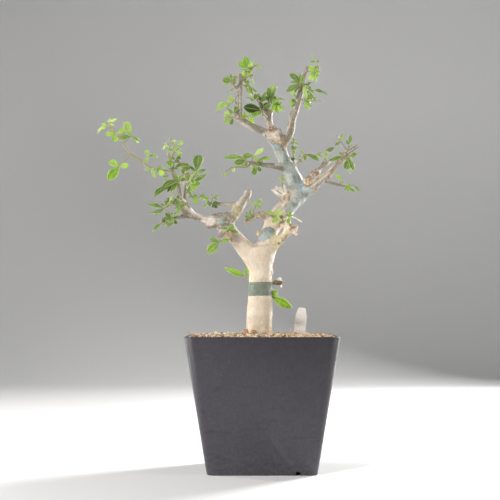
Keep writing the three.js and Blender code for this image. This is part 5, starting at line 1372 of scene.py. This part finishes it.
    | 1.2 12.3 23.8 323.7 -16: 4.4 -8.7 4.5 .85 .3, -1.8 -6.7 3.8 .8 .2, 4.9 -2.9 3.8 .85 .2
    | 2 15 24.1 321.6 8: 6.3 -5.1 2.3 .85 .2, 3.1 2.5 2.5 .6 .2, -3.1 -2.3 3.2 .8 .4
    | 0 10.8 23.1 320.5 -16: -2.3 -6.5 3.4 .6 .1, 3.1 -1.8 3.9 .8 .3, 5.5 -6.5 2.5 .6 .3
    | 1 11.7 24.4 326.1 4: 4.1 1.8 2.7 .6 0, 3.6 -2.7 3.8 .8 .1;
    dark_leaf .05 | 5.5 22 313.5 .9, 1.5 17 315.5 .8
    | 1 1.6 17 316.4 -18: -17.5 2.3 9.2 .25 -.42, -3.9 6.3 4.8 .25 -.3
    | 1 .5 16.1 315 -18: -9.1 -4.7 4.1 .7 .2, -3.9 -2.7 3.5 .65 .1, 1.1 -4.5 2.5 .6 .1;
    right_post_left .3 | 36 33 337 .9, 33.5 30 340 .8
    | 1 34.9 28.8 343.5 -24: -8.6 5.9 5.9 .25 .35, .2 7.6 3.2 .4 .1, -8.9 -1.3 2.5 .4 .1
    | 1 34.5 27.9 341.2 -24: -12 -7.6 6.1 .2 .3, -5.4 3.3 3.2 .35 .1
    | 1 33.2 29.9 340.1 -26: -3.3 -6.7 2.3 .5 -.2, -.7 6.9 4 .4 .2
    | 0 32.1 31.9 329.6 -8: -6 7.4 2.7 .85 .3
    | 1 35.5 29 341.2 -24: 2.5 6.5 2.7 .45 .2, -3.3 -4.4 2.7 .4 -.1;
    right_post_low .4 | 33 32 327 .8, 29.5 28 325.5 .7
    | 1 27.1 28.5 328.6 -8: 2 -8.5 2.9 .7 .5 -.2
    | 1 31.4 26.8 324.9 -8: -4 2.2 3.6 .4 -.1, -4.5 -1.3 3 .6 .3;
    top_tuft .85 | 40.5 31 354 .9, 45.5 30 353 .8, 49.5 29 352.5 .7, 52 28 354.5 .7, 51.5 28 358 .6,
      50 28 361.5 .6
    | 5 48.9 28.6 362.6 0: -4.2 6.5 2 .4 .6, -4.1 -.9 2.5 .45 0, 3.7 -.4 2.2 .4 .4
    | 4.1 50.3 29.4 357.8 -16: -3.8 -2.2 2.2 .5 .7, 2.5 -2.9 1.6 .6 .2
    | 1.6 48.1 28.6 355.3 -16: -5.9 2 3.8 .85 .2, -2.5 2.9 2.9 .9 .3, 2 2.2 2.9 .5 -.3
    | 1.7 48.1 29 353 -16: 5.1 -.7 3.2 .9 .1, -3.4 -3.1 2.9 .9 .1, -4.1 1.3 3.2 .9 .4
    | 1.9 48.5 28 349.8 4: -5.8 -3.5 4.7 .95 .6, .6 -6.9 2.7 .9 .4, 3.2 0 2.9 .85 .1
    | 1.5 47.3 29.5 351.8 -10: 2.9 -4 2.9 .9 .2, -2 -3.8 3.6 .95 .5, 3.4 3.3 2.3 .8 .1;
    right_post_right .5 | 37 33 341 .9, 41.5 33 339 .8, 44.5 32 337 .7
    | 2 46.5 32.3 336.5 12: 14.1 -2.5 3.4 .35 .05 .12
    | .8 41.4 31.9 341 -32: 3.6 -4 2.3 .4 -.1, 3.3 2.7 2.3 .3 -.3
    | 1.9 42.8 30.5 336 -32: 5.7 -3.9 2.2 .4 .4, -2.5 -3.6 2.2 .4 -.1
    | .3 39.2 30.9 342.1 -32: 1.4 -14.3 2.9 .45 .6, 3.4 -.7 2.2 .4 -.2
    | .1 38.7 32.2 344.1 -32: .2 -10.4 2.7 .35 .6;
    right_post_mid .7 | 34.5 32.5 329 .9, 40.5 31 327 .7, 44 31 326.5 .7
    | .9 40.5 32.5 328.1 8: 5.2 3.3 5 .75 .4, 2.6 -3.3 3.4 .7 .3, 5.3 -1.6 2 .5 .5
    | 1.4 43.2 32.8 335.5 8: 4.2 -6.6 2 .5 .3
    | 2 46.2 30.9 329.9 0: 3.6 -3.6 1.6 .4 0, 4.2 -.2 1.3 .4 .2
    | 2 49.1 31 327.7 0: 5.3 -1.4 1.3 .4 .3
    | .8 38.2 31.1 324.6 -10: 4.4 -5.8 2.7 .9 .2
    | 1 39.7 30.5 324.4 -10: 6.3 -3.2 2.7 .9 .2
    | .8 39.9 31.2 330.3 8: 1.8 2.7 2.7 .7 .3, -.9 -4 2.3 .6 .3;
    mid_rise .45 | -9 -6 266.5 .8, -8 -8 270.5 .7, -7 -9 272.5 .7
    | 2 -6.9 -9.2 272.4 0: 8.7 6.3 4.3 .6 .65, -9.3 1.4 5.9 .35 .15, 4 -4.8 3 .55 .35;
    mid_left .15 | -11.5 -7.5 266.5 .9, -15 -12 268 .8
    | 1 -16.1 -12.7 270.5 2: -17.7 .3 4.3 .4 .1
    | 1 -13.8 -12.8 267.9 -12: -9.8 -2.4 6.2 .35 .05, .3 -4.5 2.6 .4 .1
    | .8 -13.3 -11.4 269.3 -12: -5.2 .5 3.5 .35 0;
    mid_trail .7 | -10 -6.5 266 .8, -13 -10 262.5 .7, -20.5 -14 262 .7, -26.5 -16 261 .6, -31 -18 257.5 .6
    | 4 -31.8 -16.9 256.2 0: 1.9 -1.6 2.1 .9 .1, -1.9 -1.4 1.9 .9 .1
    | 2.6 -23.5 -15.7 261.8 -4: -1.2 -4.2 2.6 .85 .3, 1.7 2.4 1.6 .6 .5
    | 1.3 -15.4 -10.9 263.2 -20: -2.4 1.4 2.4 .8 .3, 2.8 1.4 2.3 .7 .2;
    mid_under .3 | -5 -3 266 .8, -4.5 -8 260.5 .7
    | .8 -4.5 -8.6 262.9 -4: -3.1 -6.9 4.9 .3 -.1, 3.7 -3.7 3.6 .3 -.2, -5.6 -2.1 3.1 .4 .4
    | .7 -7.1 -9.4 265.1 -10: 3.1 -4.1 3.1 .3 .3, -1.4 -4.7 2.4 .4 .5;
    mid_inner .35 | 1 2.5 266 .8, .5 -2 270 .7
    | 1 -2.5 -3.5 269.6 -22: 10.4 .9 3.5 .4 .15
    | 1 -4.6 -2.3 268.9 -22: 5.3 -4.1 3.8 .35 .2, -1.4 3.3 2.8 .5 .3;
    bud_tip .9 | 30.2 32.5 272 .8, 29 33 278 .7, 28.5 32 282.5 .7, 28.5 31 286 .6, 29 30 290 .6
    | 3.8 29.1 31.7 289.5 4: .3 3.2 2.5 .9 .5, -2.6 -1.3 2 .85 .4, 4.7 -2.2 1.4 .7 .4
    | 2.8 29.3 31.1 285.3 -4: 4.1 -1.5 1.6 .7 .4, -2 -3 2 .95 .2, 1.5 -3.2 2.3 .95 .2
    | 2 28.8 32.1 282.3 -4: -1.3 3.8 2 .95 .3, 1.6 -2.9 2 .9 .2, 1.8 3.1 2 .95 .3
    | .7 27.8 33 275.5 -12: -2 -3.7 3.4 .6 0, -5.6 1.3 1.4 .6 .3, 2.4 -2.9 3.4 .5 -.2;
    bud_leaf .3 | 29 29 268.5 .8, 34 31 271 .7, 38.5 34 278 .7
    | 2 39.6 34.5 278.9 0: 14.9 -5.9 4.3 .35 .15, .3 -5.6 3.6 .45 -.1, -4.2 2.9 2.9 .4 .3
    | 2 50.4 34.4 278.4 0: 3.8 1.8 2.3 .6 .1, 4.5 -1.5 2 .6 .2
    | 1.4 33.2 33.4 275.2 20: 3.6 -3.8 2.9 .5 0, 2.4 2.4 2.2 .5 .1;
    thin_tip .4 | 67.5 -15.4 285.3 .7, 65 -17 289.5 .7
    | 0 68.1 -16.6 283.8 4: 2.2 7 2.6 .45 .45, -4.3 -3.1 3.5 .4 0
    | 0 63.1 -18.2 279.1 -8: -6.6 -3.2 4.1 .2 -.2;
    prong_tip .9 | 57.2 26.8 274.5 .8, 58 27 279.5 .7, 59 26 282.5 .6
    | .9 58.4 26.8 279 8: 1.1 3.2 2.3 .95 .3, -2.2 .5 2 .95 .3, 1.7 -2 2.1 .95 .3
    | .4 57.2 26.5 276.2 -8: -1.1 -1.9 2.3 .95 .4, 2.4 -2.6 1.6 .9 .2;
    tip_rise .3 | 75 -12 274.5 .8, 75.5 -13 280 .7
    | 1 75.7 -12.4 281.4 0: 1.8 9.2 3.5 .3 .2, -1.9 3.7 2.3 .3 .1
    | .6 74.5 -12 277.9 8: 5.3 4.5 1.3 .4 .7;
    tip_left .2 | 71.5 -10 271.5 .9, 69 -14 272 .8
    | .8 71 -13.9 272 4: -13.9 -4.4 3.6 .35 -.1, -4 2.6 2.4 .45 .1
    | .2 74.1 -12.4 273 4: -9 -3.3 3.5 .25 -.3, -4.4 -2.8 2.9 .3 -.1;
    tip_hang .25 | 75 -12 274.5 .9, 76.5 -15 270.5 .7
    | 1 75.6 -15 269.7 -8: -2.6 -9.4 7.6 .25 .3, 4 -10.9 4.5 .3 .2
    | 1 75.9 -15.2 261.9 -8: .6 -6.6 1.9 .3 .8
    | 1 75.5 -16.5 270.4 -8: 6.7 3.8 4 .35 .25, 5.6 .9 2.8 .3 .2, -2.1 -3.3 3.5 .3 0;
    low_tip .8 | 74 29 249.6 .8, 78 30 249 .7
    | .8 77.2 29.9 249.2 0: 3.3 2.3 2.2 .85 .2, 7.1 -5.3 2.5 .9 .3, 1.6 -3.9 2.9 .9 .2, -1.7 -3 2.2 .8 .2
    | 1 83 29.4 250.5 0: 5.8 -5.6 2.9 .35 .55;
    low_rise .85 | 70.5 26 250.2 .8, 72 26 254 .7
    | 1 72.4 26.4 254.1 0: -6.7 6.3 2.7 .9 .4, .8 -3 2 .8 .2
    | 1 71.7 25.9 255.8 0: -2.7 0 2.1 .9 .2, 1.3 1.1 1.8 .8 .3;
    torn_tuft .8 | 19.5 9.5 244 .8, 18 6 250.5 .7, 17.5 6 254 .6
    | 2 18.1 6.8 254.5 0: -3.4 .3 1.6 .8 .7, 1.2 2.8 1.6 .9 .4, 3.3 -3.1 1.9 .9 .3, -1.5 -3.4 1.6 .8 .3"""


def read_shoot(entry):
    head, path, *leaves = entry.split("|")
    name, tone = head.split()
    leaves = [[rows(part) for part in leaf.split(":")] for leaf in leaves]
    return name, (float(tone), rows(path), [(*spot, leaflets) for (spot,), leaflets in leaves])


shoots = dict(read_shoot(entry) for entry in SHOOT_TABLE.split(";"))
print(len(shoots), "shoots with", sum(len(leaf[-1]) for _, _, leaves in shoots.values() for leaf in leaves), "leaflets")

# %% One leaflet, a unit long
LEAFLET_ROWS = [0.0, 0.1, 0.2, 0.3, 0.4, 0.49, 0.58, 0.66, 0.74, 0.82, 0.89, 0.95, 1.0]
LEAFLET_COLUMNS = [-1, -0.68, -0.34, 0, 0.34, 0.68, 1]
MIDRIB = LEAFLET_COLUMNS.index(0)
# Half widths along a leaflet, as shares of its full width: a blunt, a wedge-shaped and a lance-shaped one
BLUNT = ((0, 0.04), (0.1, 0.14), (0.25, 0.32), (0.45, 0.44), (0.65, 0.5), (0.82, 0.48), (0.93, 0.38), (1, 0.16))
WEDGE = ((0, 0.04), (0.1, 0.1), (0.25, 0.25), (0.4, 0.4), (0.55, 0.485), (0.68, 0.5), (0.8, 0.43), (0.9, 0.29),
         (0.96, 0.16), (1, 0.03))
LANCE = ((0, 0.04), (0.12, 0.16), (0.25, 0.33), (0.4, 0.47), (0.5, 0.5), (0.62, 0.46), (0.75, 0.34),
         (0.88, 0.17), (1, 0.01))


def leaflet_width(along, form):
    """Half the width of a leaflet: form runs from -1 (blunt) over 0 (a wedge) to 1 (a lance)."""
    other = BLUNT if form < 0 else LANCE
    return float(np.interp(along, *zip(*WEDGE)) * (1 - abs(form)) + np.interp(along, *zip(*other)) * abs(form))


def leaflet_sheet(draw, width, form, bow):
    """Points of one leaflet as [along, across, lift] for a length of one, with its own fold and waves."""
    fold = draw.uniform(0.1, 0.42)
    droop = draw.uniform(0.02, 0.3)
    wave = draw.uniform(0, 6.3)
    depth = draw.uniform(0.008, 0.03)
    twist = draw.gauss(0, 0.22)
    skew = draw.uniform(-0.04, 0.04) + bow
    points = []
    for row, along in enumerate(LEAFLET_ROWS):
        tooth = (1.03 if row % 2 else 0.965) if 0.35 < along < 0.99 else 1
        half = leaflet_width(along, form) * tooth * width
        turn = twist * along
        for column in LEAFLET_COLUMNS:
            across = column * half
            lift = fold * (math.sqrt(across ** 2 + 0.0009) - 0.03) + droop * (0.55 * along - along ** 2)
            lift += depth * column ** 2 * math.sin(11 * along + wave + 1.5 * column)
            across, lift = (across * math.cos(turn) - lift * math.sin(turn),
                            across * math.sin(turn) + lift * math.cos(turn))
            points.append((along, across + skew * math.sin(math.pi * along), lift))
    return points


def leaflet_faces(first):
    wide = len(LEAFLET_COLUMNS)
    corners = [first + row * wide + column for row in range(len(LEAFLET_ROWS) - 1) for column in range(wide - 1)]
    return [(corner, corner + wide, corner + wide + 1, corner + 1) for corner in corners]


print("a leaflet has", len(leaflet_faces(0)), "faces")

# %% Lay one leaflet
STEEPEST_LEAN, LEAN_SPREAD, ROLL_SPREAD, HUB_GAP = 48, 15, 0.12, 0.25
# Widths as shares of a leaflet's length: the share of a wedge, how much narrower a lance is, and the full
# widths of both when they are seen flat. A leaflet that points sideways enough is always rolled one way.
WEDGE_SHARE, LANCE_STEP, FULL_SHARE, LANCE_LOSS, SIDEWAYS = 0.52, 0.26, 0.44, 0.17, 0.25
MOST_BLUNT, MOST_SLIM = -0.9, 1


def station_at(path, place):
    first = min(int(place), len(path) - 2)
    return Vector(path[first][:3]).lerp(Vector(path[first + 1][:3]), place - first)


def lay_leaflet(draw, hub, lean, leaflet):
    """The points in mm of one leaflet that runs from its hub and shows its width to the front. A leaflet
    that looks narrow from the front is rolled about its midrib, so it is as wide as its sisters."""
    across_mm, up_mm, width, _, _, *bow = leaflet
    in_front = Vector((across_mm, 0, up_mm))
    lean = max(-STEEPEST_LEAN, min(STEEPEST_LEAN, lean + draw.gauss(0, LEAN_SPREAD)))
    run = in_front + Vector((0, math.tan(math.radians(lean)) * in_front.length, 0))
    along, length = run.normalized(), run.length
    share = width / in_front.length
    form = max(MOST_BLUNT, min(MOST_SLIM, (WEDGE_SHARE - share) / LANCE_STEP))
    full = max(width, (FULL_SHARE - LANCE_LOSS * max(0, form)) * length)
    side = -1 if along.x > SIDEWAYS else 1 if along.x < -SIDEWAYS else draw.choice((-1, 1))
    roll = side * math.acos(min(1, width / full)) + draw.gauss(0, ROLL_SPREAD)
    flat = Vector((-along.z, 0, along.x)).normalized()
    across = flat * math.cos(roll) + along.cross(flat) * math.sin(roll)
    facing = along.cross(across)
    start = hub + along * HUB_GAP
    return [start + (along * x + across * y + facing * z) * (length - HUB_GAP)
            for x, y, z in leaflet_sheet(draw, full / length, form, bow[0] if bow else 0)]


def leaves_the_box(points, spare=0.3):
    """Says whether a leaflet reaches out of the measured box; such a leaflet is made a little smaller."""
    low, high = (np.array(corner) / MM for corner in cad_box)
    return bool(np.any(np.array(points) < low + spare) or np.any(np.array(points) > high - spare))


print("leaflets are laid from their hubs")

# %% Build every shoot as one piece
STEM_SHARE, LEAF_THICKNESS, FIRST_SEED = 0.8, 0.34, 40
STALK_RADIUS, STALK_GAIN, STALK_SAG, SHRINK = 0.27, 0.012, 0.07, 0.96
AGE_SPREAD, PALE_AND_SHEEN_SPREAD = 0.1, (-0.18, 0.14)


def build_shoot(name, tone, path, leaves, seed):
    draw = random.Random(seed)
    points, faces, leaf_map, ages, pales_and_sheen = [], [], [], [], []
    lines = [rounded_line([(*station[:3], station[3] * STEM_SHARE) for station in path], 4)]
    for place, *hub, lean, leaflets in leaves:
        hub = Vector(hub)
        root = station_at(path, place)
        slim = STALK_RADIUS + STALK_GAIN * max(math.hypot(*leaflet[:2]) for leaflet in leaflets)
        sag = Vector((0, 0, -STALK_SAG * (hub - root).length))
        lines.append(rounded_line([(*root, slim * 1.5), (*(root.lerp(hub, 0.5) + sag), slim), (*hub, slim)], 3))
        for leaflet in leaflets:
            luck = draw.getstate()
            sheet = lay_leaflet(draw, hub, lean, leaflet)
            while leaves_the_box(sheet):
                leaflet = (leaflet[0] * SHRINK, leaflet[1] * SHRINK, *leaflet[2:])
                draw.setstate(luck)
                sheet = lay_leaflet(draw, hub, lean, leaflet)
            faces += leaflet_faces(len(points))
            points += sheet
            leaf_map += [(along, column * 0.5 + 0.5) for along in LEAFLET_ROWS for column in LEAFLET_COLUMNS]
            ages += [min(1, max(0, leaflet[3] + draw.uniform(-AGE_SPREAD, AGE_SPREAD)))] * len(sheet)
            # pale: how pale a leaflet is, partly a pale underside and partly a painted sheen
            pales_and_sheen += [leaflet[4] + draw.uniform(*PALE_AND_SHEEN_SPREAD)] * len(sheet)
            midrib = sheet[MIDRIB::len(LEAFLET_COLUMNS)]
            end = midrib[0].lerp((midrib[4] + midrib[5]) / 2, 0.8)
            lines.append([(*hub, slim * 0.9), (*midrib[0], slim * 0.8), (*end, slim * 0.4)])
    blades = mesh_piece("foliage_" + name, points, faces)
    store(blades, "POINT", tone=ages, pale=pales_and_sheen, stem=0)
    modify(blades, "leaf_thickness", "SOLIDIFY", thickness=LEAF_THICKNESS * MM, offset=0)
    uv = blades.data.uv_layers.new(name="leaf_map")
    for loop in blades.data.loops:
        uv.data[loop.index].uv = leaf_map[loop.vertex_index]
    apply_modifiers(blades)
    stems = tubes("stems_" + name, lines, 1)
    store(stems, "POINT", tone=tone, pale=0, stem=1)
    stems.data.uv_layers.new(name="leaf_map")
    join("foliage_" + name, [blades, stems])
    bpy.ops.object.shade_smooth()
    return blades


foliage = {name: build_shoot(name, *shoot, FIRST_SEED + index) for index, (name, shoot) in enumerate(shoots.items())}
print("foliage:", sum(triangles_in(piece) for piece in foliage.values()), "triangles")

# %% [markdown]
# ### Leaf finish
# Leaf colour runs by age, from yellow-green on the young tips to soft grey-green on the old leaves, and each
# leaflet is also a little paler or darker than its neighbours: the paler ones show a pale underside in part and a
# painted sheen in part. Within a leaflet the blade is darker between pale veins and paler at its margin, and stems turn
# from yellow-green to a dry pinkish brown. The leaflet's own UV map carries the vein pattern: u runs from its base to
# its tip and v across it.


# %% Leaf materials
def leaf_material(name, blade, blade_dark, margin):
    material = new_material(name)
    along, v, _ = split(add_node("ShaderNodeUVMap", uv_map="leaf_map").outputs["UV"])
    beside = maths("ABSOLUTE", minus(v, 0.5))
    tone, pale_and_sheen_share, stem = (attribute(label) for label in ("tone", "pale", "stem"))
    blotches = clouds(420, 3, 0.6)
    young = fade(tone, 0.1, 0.95)
    fresh = blend(young, blade, (0.30, 0.50, 0.042))
    dark = blend(young, blade_dark, (0.18, 0.36, 0.025))
    pale = blend(tone, margin, (0.58, 0.72, 0.20))
    rays = maths("FRACT", minus(times(along, 6.5), times(beside, 4.2)))
    vein = fade(maths("ABSOLUTE", minus(rays, 0.5)), 0, 0.11, 1, 0)
    ribs = maths("MAXIMUM", times(vein, 0.5), fade(beside, 0.012, 0.05, 1, 0))
    green_stem = tint(220, (0.29, 0.31, 0.12), (0.35, 0.28, 0.14))
    dry_stem = tint(220, (0.38, 0.28, 0.18), (0.52, 0.41, 0.30))
    colour = coats(
        dark,
        (fade(blotches, 0.36, 0.66), fresh),
        # Painted sheen, with a pale underside: leaflets with a high pale value are whitened towards the pale margin
        # colour.
        (fade(pale_and_sheen_share, 0, 1, 0, 0.85), pale),
        (fade(pale_and_sheen_share, -0.5, 0, 0.95, 0), (0.03, 0.06, 0.008)),
        (fade(beside, 0.36, 0.5), 0.85, pale),
        (ribs, 0.65, pale),
        (stem, blend(fade(tone, 0.1, 0.6), dry_stem, green_stem)))
    finish(colour, fade(blotches, 0.3, 0.7, 0.32, 0.5), minus(times(blotches, 0.4), ribs), 0.5, 0.0002, {
        "Specular IOR Level": 0.24, "Subsurface Weight": 0.12, "Subsurface Radius": (0.0006, 0.001, 0.0003),
        "Subsurface Scale": 1.0})
    return material


leaf_materials = {
    "leaf_mature": leaf_material("leaf_mature", (0.130, 0.213, 0.040), (0.054, 0.108, 0.015), (0.44, 0.52, 0.25)),
    "leaf_young": leaf_material("leaf_young", (0.14, 0.25, 0.04), (0.075, 0.155, 0.02), (0.42, 0.52, 0.21)),
}
for name, piece in foliage.items():
    slot = "leaf_mature" if shoots[name][0] < 0.5 else "leaf_young"
    dress(piece, leaf_materials[slot], slot, "spray_" + name)
print(len(foliage), "foliage pieces dressed")

# %% [markdown]
# ## Label
# A slim white plastic stake stands behind the trunk, with a narrow foot, cut top corners and no writing.
# A circle of ten points is pushed to its outline, then Solidify gives it its thickness and a small bevel
# softens its edges.

# %% The blank label
LABEL_THICKNESS, LABEL_ROUNDING = 1, 0.22
LABEL_LEAN, LABEL_SPOT = 6, (30.3, 26, 82.4)
outline = [(-1.5, 0), (1.5, 0), (5, 12), (5, 50.5), (3.2, 57.6), (2.8, 58),
           (-2.8, 58), (-3.2, 57.6), (-5, 50.5), (-5, 12)]
label = add_shape("blank_label", bpy.ops.mesh.primitive_circle_add, vertices=len(outline), radius=1, fill_type="NGON")
lean = Matrix.Translation(Vector(LABEL_SPOT) * MM) @ Matrix.Rotation(math.radians(LABEL_LEAN), 4, "Y")
for corner, (x, z) in zip(label.data.vertices, outline):
    corner.co = lean @ (Vector((x, 0, z)) * MM)
modify(label, "plate", "SOLIDIFY", thickness=LABEL_THICKNESS * MM, offset=0)
modify(label, "soft_edges", "BEVEL", width=LABEL_ROUNDING * MM, segments=2)
apply_modifiers(label)
turn_outwards(label)
label_plastic = new_material("label_plastic")
white = coats(
    tint(180, (0.70, 0.69, 0.70), (0.80, 0.79, 0.80)),
    (fade(split(where)["Z"], 0.117, 0.122, 0.7, 0), clouds(500), (0.42, 0.31, 0.2)),
    (scatter(520, 0.07), 0.3, (0.5, 0.45, 0.38)))
finish(white, fade(clouds(300), 0.3, 0.7, 0.34, 0.5), clouds(900), 0.12, 0.0003)
dress(label, label_plastic, "label", "label")
print("label:", triangles_in(label), "triangles")
